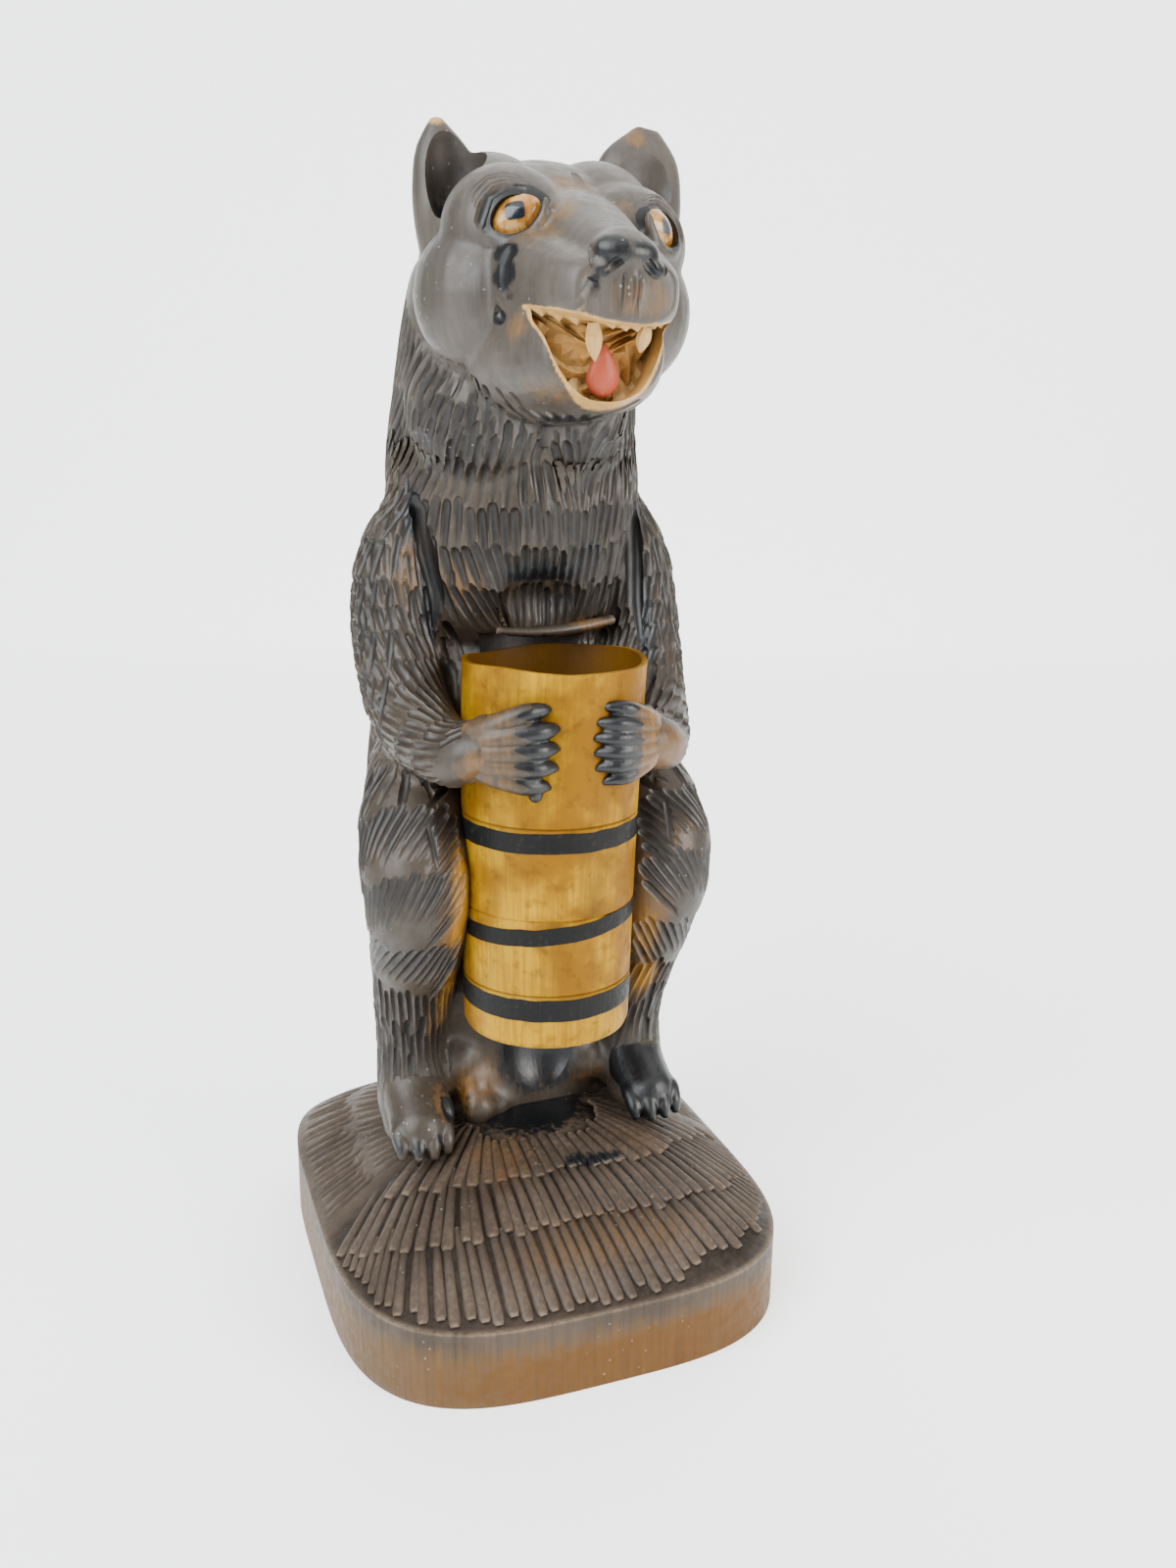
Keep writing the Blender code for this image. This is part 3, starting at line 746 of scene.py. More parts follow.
def store(thing, name, values):
    """A number for every point, which a material reads by name."""
    layer = thing.data.attributes.new(name, "FLOAT", "POINT")
    layer.data.foreach_set("value", np.clip(values, 0, 1).astype(np.float32))


def depth_under(thing, tree, full):
    """How deep each point lies under a skin, as a share of full millimetres."""
    depths = np.zeros(len(thing.data.vertices))
    for i, vertex in enumerate(thing.data.vertices):
        near, normal, _, distance = tree.find_nearest(vertex.co)
        depths[i] = distance if (vertex.co - near).dot(normal) < 0 else 0
    return depths / (full * MM)


def spots(places, marks):
    """The strongest of many soft ellipsoid marks (x, y, z, rx, ry, rz, strength) at each place."""
    result = np.zeros(len(places))
    for x, y, z, rx, ry, rz, strength in marks:
        offset = (places - (x, y, z)) / (rx, ry, rz)
        away = np.sqrt((offset ** 2).sum(axis=1))
        result = np.maximum(result, strength * np.clip(1.6 - away / 0.75, 0, 1))
    return result


print("the guide has", len(point_places(guide)), "points")

# %% [markdown]
# The barrel was cut from the same block, so the body has to make room for it. Both follow one outline: a
# barrel that narrows a little at its foot and leans a little to the bear's left at its rim.

# %% The barrel's outline
RIM_LEAN = 1.7


def barrel_radius(z):
    """Outer radius of the barrel at a height: a little narrower at the foot."""
    share = (z - FOOT) / (RIM - FOOT)
    return BARREL_RADIUS + 0.5 * share ** 3 - 0.8 * (1 - share) ** 2


def barrel_lean(z):
    """How far the barrel's axis has moved towards the bear's left at a height."""
    return RIM_LEAN * max(0.0, (z - FOOT) / (RIM - FOOT)) ** 2


def turned(name, profile, sides):
    """A closed solid turned about the barrel's axis from (radius, height) points, bottom first."""
    shape = bmesh.new()
    rings = []
    for radius, height in profile:
        rings.append([shape.verts.new(figure(barrel_lean(height) + radius * math.cos(math.tau * k / sides),
                                             BARREL_Y + radius * math.sin(math.tau * k / sides), height))
                      for k in range(sides)])
    skin_rings(shape, rings)
    return made(name, shape)


print("barrel", [round(2 * barrel_radius(z), 1) for z in (FOOT, RIM)], "mm across at its foot and its rim")

# %% [markdown]
# The bear is parted at the neck, because the face needs much smaller cells than the fur does. Cuts that
# cross the neck go into both parts. A few long cuts part the arms from the trunk, and a thin ledge stands
# behind the rim.

# %% Carve the body
SEAM = 172
SEAM_OVERLAP = 12
BODY_VOXEL = 1.4
BLOCK_SIZE = 300
ARMPITS = (([(-26, 0, 162), (-26, -1, 150), (-23.5, 0, 136), (-23, -2, 122)], 4.8, 2.6),
           ([(26, 0, 160), (27, -1, 148), (27.5, -3, 133), (28, -9, 118)], 4.8, 2.8))
LEDGE = [(-9, -4, 129.2, 0.8, 0.8), (0, -4.2, 128.6, 1.3, 1.5), (10, -3.4, 129.0, 1.5, 1.7),
         (22, -0.5, 130.4, 1.2, 1.5)]
SUNK_IN = 0.7


def slab(low_z, high_z):
    """A big block between two heights, to keep one part of the bear."""
    shape = bmesh.new()
    middle = figure(0, 0, (low_z + high_z) / 2)
    size = Matrix.Diagonal((BLOCK_SIZE * MM, BLOCK_SIZE * MM, (high_z - low_z) * MM, 1))
    bmesh.ops.create_cube(shape, size=1, matrix=Matrix.Translation(middle) @ size)
    return made("slab", shape)


def crease(thing, tree, points, width, depth):
    """One long cut laid through points (x, y, z) near the skin of a thing."""
    path = []
    for row in smooth_rows(points, 4):
        near, normal, _, _ = tree.find_nearest(figure(*row))
        path.append((near, normal))
    shape = bmesh.new()
    tool(shape, path, width, depth)
    carve(thing, made("crease", shape))


body = hollowed(bear_clay("bear_body", BODY_VOXEL, 6))
carve(body, slab(-60, SEAM), "INTERSECT")
carve_cuts(body, cuts, lambda p: p.z < figure(0, 0, SEAM + SEAM_OVERLAP).z)
carve_cuts(body, limb_cuts)
for points, width, depth in ARMPITS:
    crease(body, bear_skin, points, width, depth)
room = [(barrel_radius(z) - SUNK_IN, z) for z in (FOOT, FOOT + 20, RIM - 40, RIM - 20, RIM)]
carve(body, turned("barrel_room", room + [(barrel_radius(RIM) - SUNK_IN, RIM + 4.5)], 96))
shape = bmesh.new()
tube(shape, LEDGE)
carve(body, made("ledge", shape), "UNION")
print("body:", triangles(body), "triangles")

# %% [markdown]
# The ears are scooped out in front, which leaves a sharp rim. Each eye lies in an almond hollow with a flat
# floor, and the mouth is a wide hollow whose corners are pulled up into a smile.

# %% Hollows of the eyes and ears
EAR_HOLLOWS = (((-20.7, -15.2, 228.0), (7.0, 8.6, 13.2), (8, -6, -14)),
               ((24.6, -8.6, 229.5), (9.2, 5.6, 12.0), (8, 8, 10)))
SOCKET_RINGS = ((1.25, 7), (1.02, 0.2), (0.97, -1.5))


def eye_sockets():
    """Almond hollows with a flat floor, for both eyes."""
    shape = bmesh.new()
    for side in SIDES:
        rings = []
        for scale, lift in SOCKET_RINGS:
            rings.append([shape.verts.new(p) for p in eye_ring(side, scale, scale, lift)])
        skin_rings(shape, rings)
    return made("eye_sockets", shape)


def ear_hollows():
    """The scooped fronts of both ears, which leave a sharp rim."""
    shape = bmesh.new()
    for centre, radii, turn in EAR_HOLLOWS:
        ball(shape, centre, radii, turn)
    return made("ear_hollows", shape)


print(len(EAR_HOLLOWS), "ears and", len(EYES), "eyes to hollow out")

# %% The shape of the mouth
MOUTH_HALVES = {-1: 15.5, 1: 12.8}
UPPER_LIP = 195.5
LOWER_LIP = 181.2
MOUTH_MIDDLE = 190.5


def half_mouth(x):
    """How far the mouth reaches on the side of x: further on the bear's right."""
    return MOUTH_HALVES[-1 if x < 0 else 1]


def corner(x):
    """How far x is on the way from the middle of the mouth to its corner."""
    return min(abs(x) / half_mouth(x), 1)


def lip_top(x):
    """Height of the upper lip's edge."""
    return UPPER_LIP + 2.4 * corner(x) ** 2.2 - 0.075 * x


def lip_low(x):
    """Height of the lower lip's edge, a deep curve between the same corners."""
    return LOWER_LIP + (lip_top(x) - LOWER_LIP) * corner(x) ** 2.8


def mouth_floor(x, z):
    """How far back the mouth is cut, which follows the lips' slope and the muzzle's roundness."""
    return -50 + 0.042 * x * x + 0.35 * (195 - z)


def mouth_outline(count):
    """Points (x, z) round the mouth: along the upper lip, then back along the lower one."""
    turns = [math.sin(math.pi * (k / count - 0.5)) for k in range(count)]
    top = [turn * half_mouth(turn) for turn in turns]
    low = [-turn * half_mouth(-turn) for turn in turns]
    return [(x, lip_top(x)) for x in top] + [(x, lip_low(x)) for x in low]


def mouth_ring(shape, count, scale, place):
    """A ring like the mouth's outline, shrunk about its middle, at the depth that place gives."""
    ring = []
    for k, (x, z) in enumerate(mouth_outline(count)):
        x = x * scale
        z = MOUTH_MIDDLE + (z - MOUTH_MIDDLE) * scale
        ring.append(shape.verts.new(figure(x, place(k, x, z), z)))
    return ring


def mouth_hollow():
    """The open mouth, cut straight back to its floor."""
    shape = bmesh.new()
    rings = [mouth_ring(shape, 24, 1.0, lambda k, x, z: -75)]
    for scale in (0.98, 0.66, 0.33, 0.05):
        rings.append(mouth_ring(shape, 24, scale, lambda k, x, z: mouth_floor(x, z)))
    skin_rings(shape, rings)
    return made("mouth_hollow", shape)


print("the mouth is", round(lip_top(0) - lip_low(0), 1), "mm high in its middle")

# %% [markdown]
# The last strokes on the face are single creases: round the nostrils, down the groove under the nose, under
# the eyes and over the lids. Each follows a few points that are moved onto the skin first.

# %% Carve the head
HEAD_VOXEL = 0.6
NOSE_CREASES = [([(-2.2, -64, 206.2), (-3.6, -63, 205.2), (-5.6, -61, 204.6)], 2.2, 1.5),
                ([(3.0, -64, 206.0), (4.4, -63, 205.0), (6.2, -61, 204.2)], 2.2, 1.5),
                ([(-7.2, -58, 209.5), (-6.6, -60, 207.4), (-6.9, -59, 204.5)], 1.6, 0.5),
                ([(7.4, -58, 209.5), (7.2, -60, 207.4), (7.2, -59, 204.5)], 1.6, 0.5),
                ([(-6.5, -60, 203.2), (-7.8, -59.5, 201), (-8.6, -58, 199)], 4.2, 0.8),
                ([(-1.4, -63, 204.5), (-1.4, -62.5, 200), (-1.2, -61, 195.8)], 1.3, 0.7),
                ([(0.5, -63, 204.0), (0.5, -62.5, 200), (0.5, -61, 195.8)], 1.2, 0.55),
                ([(2.4, -63, 204.0), (2.4, -62.5, 200), (2.4, -61, 195.8)], 1.3, 0.7)]
FACE_CREASES = [([(-15.6, -40, 211), (-16.8, -40, 207.5), (-16.8, -40, 203.8), (-15.4, -41, 200)], 5.2, 0.8),
                ([(17.5, -40, 210.0), (18.0, -40, 206.5), (17.6, -40, 203.0)], 5.0, 0.8),
                ([(-18.4, -36, 199.6), (-17.2, -38, 197.6), (-16.4, -39, 195.8)], 3.0, 1.3),
                ([(3.5, -22, 230), (3.2, -30, 226.5), (1.5, -38, 221.5)], 3.2, 0.6)]
EYE_CREASES = ((1.42, 1.78, 5, 165, 3.2, 1.2), (1.75, 2.25, 40, 150, 1.1, 0.35),
               (1.9, 2.75, 45, 145, 1.1, 0.35), (2.05, 3.2, 50, 140, 1.0, 0.3))
CREASE_POINTS = 9

head = bear_clay("bear_head", HEAD_VOXEL, 10, face_details)
carve(head, slab(SEAM, 260), "INTERSECT")
carve(head, ear_hollows())
carve(head, eye_sockets())
head_skin = skin_of(head)
for points, width, depth in NOSE_CREASES + FACE_CREASES:
    crease(head, head_skin, points, width, depth)
for side in SIDES:
    for along, over, first, last, width, depth in EYE_CREASES:
        ring = eye_ring(side, along, over, 0.5, first, last, CREASE_POINTS)
        crease(head, head_skin, [row[:3] for row in to_rows(ring, [0] * CREASE_POINTS)], width, depth)
carve(head, mouth_hollow())
carve_cuts(head, cuts, lambda p: p.z > figure(0, 0, SEAM - SEAM_OVERLAP).z)
print("head:", triangles(head), "triangles")

# %% [markdown]
# The mouth is lined with bare wood that was chipped into small triangles. Rings that lie alternately near
# and far make such facets by themselves. The eyes are shallow domes, dense enough to carry a painted pupil.

# %% Eyes, mouth lining and tongue
EYE_STEPS = 24
LINING_RINGS = ((0.9, 2.5, 0), (1.02, 1.0, 0), (1.01, -1.2, 0), (0.84, -1.4, 1.5), (0.62, -0.4, -1.4),
                (0.4, -1.0, 1.0), (0.15, -0.4, 0))
TONGUE = [(-0.3, -49.6, 192.2, 0.5, 0.6), (-0.3, -49.8, 190.4, 1.7, 1.3), (-0.2, -49.6, 187.6, 3.1, 1.7),
          (-0.2, -49.2, 185.3, 3.5, 1.9), (-0.2, -48.6, 183.4, 2.5, 1.6), (-0.2, -48.2, 182.4, 0.8, 0.8)]

shape = bmesh.new()
for side in SIDES:
    rings = [[shape.verts.new(p) for p in eye_ring(side, 0.9, 0.9, -2.2)]]
    for step in range(EYE_STEPS + 1):
        scale = 1.04 - 0.99 * step / EYE_STEPS
        dome = eye_ring(side, scale, scale, -0.9 + 1.8 * (1 - scale * scale))
        rings.append([shape.verts.new(p) for p in dome])
    skin_rings(shape, rings)
eyes = made("eyes", shape)

shape = bmesh.new()
rings = []
for scale, lift, zigzag in LINING_RINGS:
    rings.append(mouth_ring(shape, 13, scale, lambda k, x, z: mouth_floor(x, z) + lift + zigzag * (-1) ** k))
skin_rings(shape, rings)
lining = made("mouth_lining", shape)

shape = bmesh.new()
tube(shape, TONGUE)
tongue = made("tongue", shape)
print("eyes", triangles(eyes), "lining", triangles(lining), "tongue", triangles(tongue), "triangles")

# %% [markdown]
# Two long fangs hang from the upper lip, shaped like leaves. The other teeth are only the ridges that the
# knife left along the lips, so each is a small pyramid of its own, uneven by dice.

# %% Teeth
UPPER_TEETH = (-13.2, -10.6, -7.8, -1.2, 1.6, 4.2, 8.8, 11.2)
LOWER_TEETH = (-12.9, -11.3, -9.0, -6.2, 5.2, 7.6, 9.4)
LEAF = [(0.0, 0.62), (0.25, 0.92), (0.5, 1.0), (0.75, 0.7), (1.0, 0.12)]


def lip_front(x):
    """How far forward the upper lip stands."""
    return -59.5 + 0.042 * x * x


def leaf_tooth(shape, root, tip, width, thick):
    """A long tooth shaped like a leaf, widest near its middle."""
    tube(shape, [(*(root[k] + (tip[k] - root[k]) * share for k in range(3)), width / 2 * w, thick / 2 * w)
                 for share, w in LEAF], sides=8, steps=2)


def chip_tooth(shape, root, tip, width, thick):
    """A small tooth: a pyramid with a ridge down its front."""
    root = figure(*root)
    tip = figure(*tip)
    along = (tip - root).normalized()
    across = along.cross(Vector((0, 1, 0))).normalized() * (width * MM / 2)
    deep = Vector((0, thick * MM / 2, 0))
    base = [shape.verts.new(root + p)
            for p in (across - deep * 0.3, -deep, -across - deep * 0.3, deep - across, across + deep)]
    point = shape.verts.new(tip)
    shape.faces.new(base)
    for a, b in zip(base, base[1:] + base[:1]):
        shape.faces.new((b, a, point))


shape = bmesh.new()
for x in UPPER_TEETH:
    drop = 0.7 + dice.uniform(-0.5, 0.6)
    y = lip_front(x) + 2.6
    chip_tooth(shape, (x, y, lip_top(x) + 1.2), (x + 0.5, y + 0.9, lip_top(x) - drop), 4.8, 3.6)
leaf_tooth(shape, (-4.8, -55.8, 196.0), (-3.6, -53.8, 188.9), 3.6, 2.2)
leaf_tooth(shape, (6.8, -54.8, 195.6), (6.2, -53.0, 190.8), 3.2, 2.2)
for x in LOWER_TEETH:
    z = lip_low(x)
    y = -48.6 + 0.035 * x * x
    chip_tooth(shape, (x, y, z - 0.8), (x * 0.6, y + 2.0, z + 5.2 + dice.uniform(-0.5, 0.8)), 5.4, 3.6)
teeth = made("teeth", shape)
print("teeth:", triangles(teeth), "triangles")

# %% [markdown]
# The paws lie on the barrel like gloves, with five fingers on the bear's right and six on its left, as the
# maker carved them. The fingers fan out from the wrist, so each is a bent rod whose places turn round the
# barrel.

# %% Paws that reach round the barrel
PAW_VOXEL = 0.42
FINGERS = {-1: (5, 3.7, 2.15, 12, 0.9), 1: (6, 2.75, 1.75, 10.5, 0.55)}
shape = bmesh.new()
for side in SIDES:
    count, pitch, radius, nearest, bulge = FINGERS[side]
    for k in range(count):
        place = k - (count - 1) / 2
        z = 107.4 + pitch * place
        reach = nearest + 2.2 * abs(2 * place / (count - 1)) ** 2.5 * 2.6 + dice.uniform(-0.8, 0.8)
        spread = 0.8 * place
        arch = bulge + 1.2 * (1 - abs(2 * place / (count - 1)) ** 2)
        rod(shape, [(*beside_barrel(side, 58, 3.4 + arch, 106.6 + 0.5 * pitch * place), radius * 1.5),
                    (*beside_barrel(side, 44, 3.2 + arch, 107.0 + 0.8 * pitch * place), radius * 1.3),
                    (*beside_barrel(side, reach + 13, 2.6 + 0.5 * arch, z + 0.5 * spread), radius * 1.05),
                    (*beside_barrel(side, reach + 4, 1.0, z + 0.8 * spread), radius * 0.78),
                    (*beside_barrel(side, reach, -0.2, z + spread - 0.4), radius * 0.35)])
    ball(shape, beside_barrel(side, 50, 2.8, 106.8), (6.8, 3.6 + bulge, 7.4), (0, 0, side * 50))
rod(shape, [(*beside_barrel(-1, 27, 1.8, 100.2), 2.0), (*beside_barrel(-1, 25.5, 1.2, 96.6), 1.7)])
paws = melted(made("paws", shape), PAW_VOXEL, 2)
print("paws:", triangles(paws), "triangles")

# %% [markdown]
# Each foot is one broad lump with four toes that curl over its front. A fifth, short claw lies inside the
# right foot.

# %% Feet
FOOT_VOXEL = 0.5
INNER_CLAW = [(-24.6, -5.5, 9.0, 1.8), (-24.2, -8.0, 6.0, 1.9), (-24.0, -9.6, 2.4, 1.2)]

shape = bmesh.new()
for side in SIDES:
    rod(shape, [(side * 31, 4, 12, 8.3), (side * 31, -1, 7.5, 8.0), (side * 31.5, -8, 3.2, 7.6)])
    for k in range(4):
        spread = (k - 1.5) * 3.5
        front = 0.5 * abs(spread)
        tip = side * (31.5 + 1.1 * spread)
        rod(shape, [(side * (31.5 + 0.8 * spread), -2, 11 - front, 2.4),
                    (side * (31.5 + spread), -8, 7.4 - front, 2.5), (tip, -13 + front, 4.2, 2.4),
                    (tip, -15.8 + front, 1.6, 2.0), (tip, -16.8 + front, -0.6, 1.3)])
rod(shape, INNER_CLAW)
feet = melted(made("feet", shape), FOOT_VOXEL, 3)
print("feet:", triangles(feet), "triangles")

# %% [markdown]
# ### The plinth
#
# The plinth is a low block with rounded corners and a mound on top. Its outline is one formula, rounder in
# front than behind, so every point of its top has a direction and a share of the way out to the edge.

# %% The mound
PLINTH_WIDTH = 115 * MM
PLINTH_DEPTH = 126 * MM
STEP_DEPTH = 1.2
MOUND_SIDES = 240
MOUND_STEPS = 40


def plinth_edge(angle):
    """The plinth's outline in one direction, on a square with rounded corners."""
    c = math.cos(angle)
    s = math.sin(angle)
    squareness = 3.5 if s < 0 else 5.0
    nearness = abs(2 * c / PLINTH_WIDTH) ** squareness + abs(2 * s / PLINTH_DEPTH) ** squareness
    return Vector((c, s, 0)) * nearness ** (-1 / squareness)


def thatched(angle):
    """1 where the mound carries strips, 0 where it has plain cuts, with a short change between."""
    degrees = (math.degrees(angle) + 180) % 360 - 180
    return max(0.0, min(1.0, (degrees + 172) / 8, (2 - degrees) / 8))


def mound_point(angle, share, lowered=0.0):
    """A point of the plinth's top, from its middle (share 0) to its edge (share 1)."""
    height = PLINTH_WALL + MOUND_RISE * (1 - share ** 2.5)
    fade = min(1.0, (1 - share) / 0.03, max(share - 0.2, 0) / 0.08)
    return plinth_edge(angle) * share + Vector((0, 0, height - lowered * thatched(angle) * fade * MM))


def mound(name, lowered):
    """The plinth's body, with its top lowered in front."""
    shape = bmesh.new()
    angles = [math.tau * k / MOUND_SIDES for k in range(MOUND_SIDES)]
    rings = [[shape.verts.new(plinth_edge(angle)) for angle in angles]]
    for height in (0.25, 0.5, 0.75, 0.95):
        up = Vector((0, 0, PLINTH_WALL * height))
        rings.append([shape.verts.new(plinth_edge(angle) + up) for angle in angles])
    for step in range(MOUND_STEPS, 0, -1):
        rings.append([shape.verts.new(mound_point(angle, step / MOUND_STEPS, lowered)) for angle in angles])
    skin_rings(shape, rings)
    return made(name, shape)


def girth(share):
    """The way round the mound at a share of its breadth, in millimetres."""
    points = [mound_point(math.tau * k / 720, share) for k in range(721)]
    return sum((b - a).length for a, b in zip(points, points[1:])) / MM


full_mound = mound("full_mound", 0.0)
plinth_skin = skin_of(full_mound)
plinth = mound("plinth", STEP_DEPTH)
print("the mound's edge is", round(girth(1)), "mm round")

# %% [markdown]
# In front the mound is carved like thatch: rows of long rounded strips, each ending in a round tip over a
# dark step, with the next row starting under it. The strips are laid side by side on a mound that was
# lowered for them. Neighbours overlap, so every second strip is joined in one step and the rest in the
# next.

# %% Strips in front
STRIP_PITCH = 3.3
STRIP_OVERLAP = 1.25
STRIP_SIDES = 12
STRIP_RINGS = [(0.0, 0.5), (0.05, 0.75), (0.14, 0.92), (0.45, 1.0), (0.86, 1.0), (0.95, 0.84), (1.0, 0.45)]
STRIP_ROWS = (0.48, 0.74, 0.96)
SHORTEST_STRIP = 6 * MM
NOTCH_AT = 298


def row_ends(row, angle):
    """Where a row of strips starts and ends: all rows run further out at the sides than in front."""
    aside = abs((math.degrees(angle) + 92 + 180) % 360 - 180) / 75
    ends = [0.22 + 0.1 * aside, 0.45 + 0.35 * aside ** 2.6, 0.69 + 0.38 * aside ** 2.8, 0.975]
    ends = [min(share, 0.975) for share in ends]
    return ends[row] - 0.03 * (row > 0), ends[row + 1]


def strip(shape, path, widths, sink):
    """A rounded strip along a path of (point, normal), as wide as given at its top and low ends."""
    along = (path[-1][0] - path[0][0]).normalized()
    rings = []
    for share, fullness in STRIP_RINGS:
        spot, normal = along_path(path, share)
        across = along.cross(normal).normalized()
        radius = np.interp(share, (0, 1), widths) / 2 * fullness * MM
        centre = spot - normal * (radius + sink * (1 - share) * MM - 0.15 * MM)
        ring = []
        for k in range(STRIP_SIDES):
            angle = math.tau * k / STRIP_SIDES
            ring.append(shape.verts.new(centre + across * (radius * math.cos(angle))
                                        + normal * (radius * math.sin(angle))))
        rings.append(ring)
    skin_rings(shape, rings)


def strip_ends(row, angle, shift, raised_end):
    """Where a strip starts and ends: it runs forward rather than straight out from the middle."""
    inner, outer = row_ends(row, angle)
    inner += shift
    outer = min(outer - raised_end, 0.98)
    aside = (angle + 1.5 * math.pi) % math.tau - math.pi
    forward = 0.6 * max(0.0, outer / inner - 1) * max(0.0, 1 - (aside / 1.75) ** 2)
    return mound_point(angle + aside * forward, inner), mound_point(angle + 0.05, outer)


strips = 0
for row, low_share in enumerate(STRIP_ROWS):
    count = 2 * round(girth(low_share) / STRIP_PITCH / 2)
    pitch = math.tau / count
    for batch in (0, 1):
        shape = bmesh.new()
        for k in range(batch, count, 2):
            angle = pitch * (k + dice.uniform(-0.1, 0.1))
            notch = 0.05 * math.exp(-((math.degrees(angle) - NOTCH_AT) / 18) ** 2) if row == 2 else 0
            shifts = (0.02 * dice.uniform(-1, 1), notch + 0.02 * dice.uniform(-1, 1))
            start, end = strip_ends(row, angle, *shifts)
            if thatched(angle) < 0.9 or (end - start).length < SHORTEST_STRIP:
                continue
            way = (end - start).normalized()
            widths = []
            for here, beside in zip((start, end), strip_ends(row, angle + pitch, *shifts)):
                apart = beside - here
                widths.append(STRIP_OVERLAP * (apart - way * apart.dot(way)).length / MM)
            path = surface_path(plinth_skin, start, end - start, (end - start).length / MM)
            strip(shape, path, widths, 0.8 if row else 0.2)
            strips += 1
        carve(plinth, made("strips", shape), "UNION")
print(strips, "strips")

# %% [markdown]
# At the sides and behind the mound has plain gouge cuts in three rows.

# %% Flutes at the sides and behind
FLUTE_ROWS = ((0.30, 0.52), (0.52, 0.76), (0.76, 0.985))
FLUTE_PITCH = 3.6
FLUTE_WIDTH = 3.1
FLUTE_DEPTH = 0.8

flutes = []
for row, (inner, outer) in enumerate(FLUTE_ROWS):
    count = 2 * round(girth(outer) / FLUTE_PITCH / 2)
    for k in range(count):
        angle = math.tau * (k + 0.5 * (row % 2)) / count
        start = mound_point(angle, inner * dice.uniform(0.97, 1.04))
        end = mound_point(angle + dice.uniform(0.0, 0.04), outer)
        if thatched(angle) > 0:
            continue
        path = surface_path(plinth_skin, start, end - start, (end - start).length / MM)
        flutes.append((2 * (row % 2) + k % 2, path, FLUTE_WIDTH, FLUTE_DEPTH))
carve_cuts(plinth, flutes)
print(len(flutes), "cuts; plinth:", triangles(plinth), "triangles")

# %% [markdown]
# The barrel is turned about its axis in one profile, with a scored line over each hoop, and a second,
# hollow profile is cut out of it. The rim was finished by eye, so it waves a little.

# %% The barrel
HOOPS = ((84.6, 4.8, 0.0), (62.6, 4.1, 0.09), (43.2, 5.4, 0.0))
LINE_OVER_HOOP = 0.9
HOLLOW_DEPTH = 62
HOLLOW_FLOOR = RIM - HOLLOW_DEPTH
WAVY = 8

profile = [(barrel_radius(FOOT) - 1.6, FOOT), (barrel_radius(FOOT) - 0.5, FOOT + 0.5),
           (barrel_radius(FOOT), FOOT + 1.8)]
for z in sorted([height + breadth / 2 + LINE_OVER_HOOP for height, breadth, _ in HOOPS]):
    profile += [(barrel_radius(z), z - 0.4), (barrel_radius(z) - 0.35, z), (barrel_radius(z), z + 0.4)]
for z in (RIM - 30, RIM - 20, RIM - 10, RIM - 4, RIM):
    profile.append((barrel_radius(z), z))
barrel = turned("barrel", profile, 128)
hollow = [(16.4, HOLLOW_FLOOR), (17.8, HOLLOW_FLOOR + 1.4), (20.5, RIM), (20.7, RIM + 5)]
carve(barrel, turned("barrel_hollow", hollow, 96))
for vertex in barrel.data.vertices:
    angle = math.atan2(vertex.co.y - BARREL_Y * MM, vertex.co.x)
    height = (vertex.co.z - PLINTH_TOP) / MM
    share = min(max((height - RIM + WAVY) / WAVY, 0), 1)
    vertex.co.z += share * (0.55 * math.sin(2 * angle + 0.6) + 0.25 * math.sin(5 * angle + 1)) * MM
print("barrel:", triangles(barrel), "triangles")

# %% [markdown]
# The hoops are only painted, but the paint lies thick and was brushed by hand. Each is a thin band that
# follows the barrel, with edges that wander by dice, and the middle one slopes.

# %% The hoops
HOOP_SIDES = 160
HOOP_CORNERS = ((0.5, -1), (-0.14, -1), (-0.14, 1), (0.5, 1))

shape = bmesh.new()
for height, breadth, slope in HOOPS:
    wobble = [dice.uniform(-1, 1) for _ in range(HOOP_SIDES // 4)]
    rings = [[], [], [], []]
    for k in range(HOOP_SIDES):
        angle = math.tau * k / HOOP_SIDES
        uneven = 0.22 * np.interp(k / 4, range(len(wobble) + 1), wobble + wobble[:1])
        for ring, (inset, edge) in zip(rings, HOOP_CORNERS):
            x = math.cos(angle)
            z = height + slope * BARREL_RADIUS * x + edge * breadth / 2 + uneven * (1 if edge > 0 else 0.6)
            radius = barrel_radius(z) - inset
            y = BARREL_Y + radius * math.sin(angle)
            ring.append(shape.verts.new(figure(barrel_lean(z) + radius * x, y, z)))
    for lower, upper in zip(rings, rings[1:] + rings[:1]):
        for k in range(HOOP_SIDES):
            j = (k + 1) % HOOP_SIDES
            shape.faces.new((lower[k], lower[j], upper[j], upper[k]))
hoops = made("hoops", shape)
print("hoops:", triangles(hoops), "triangles")
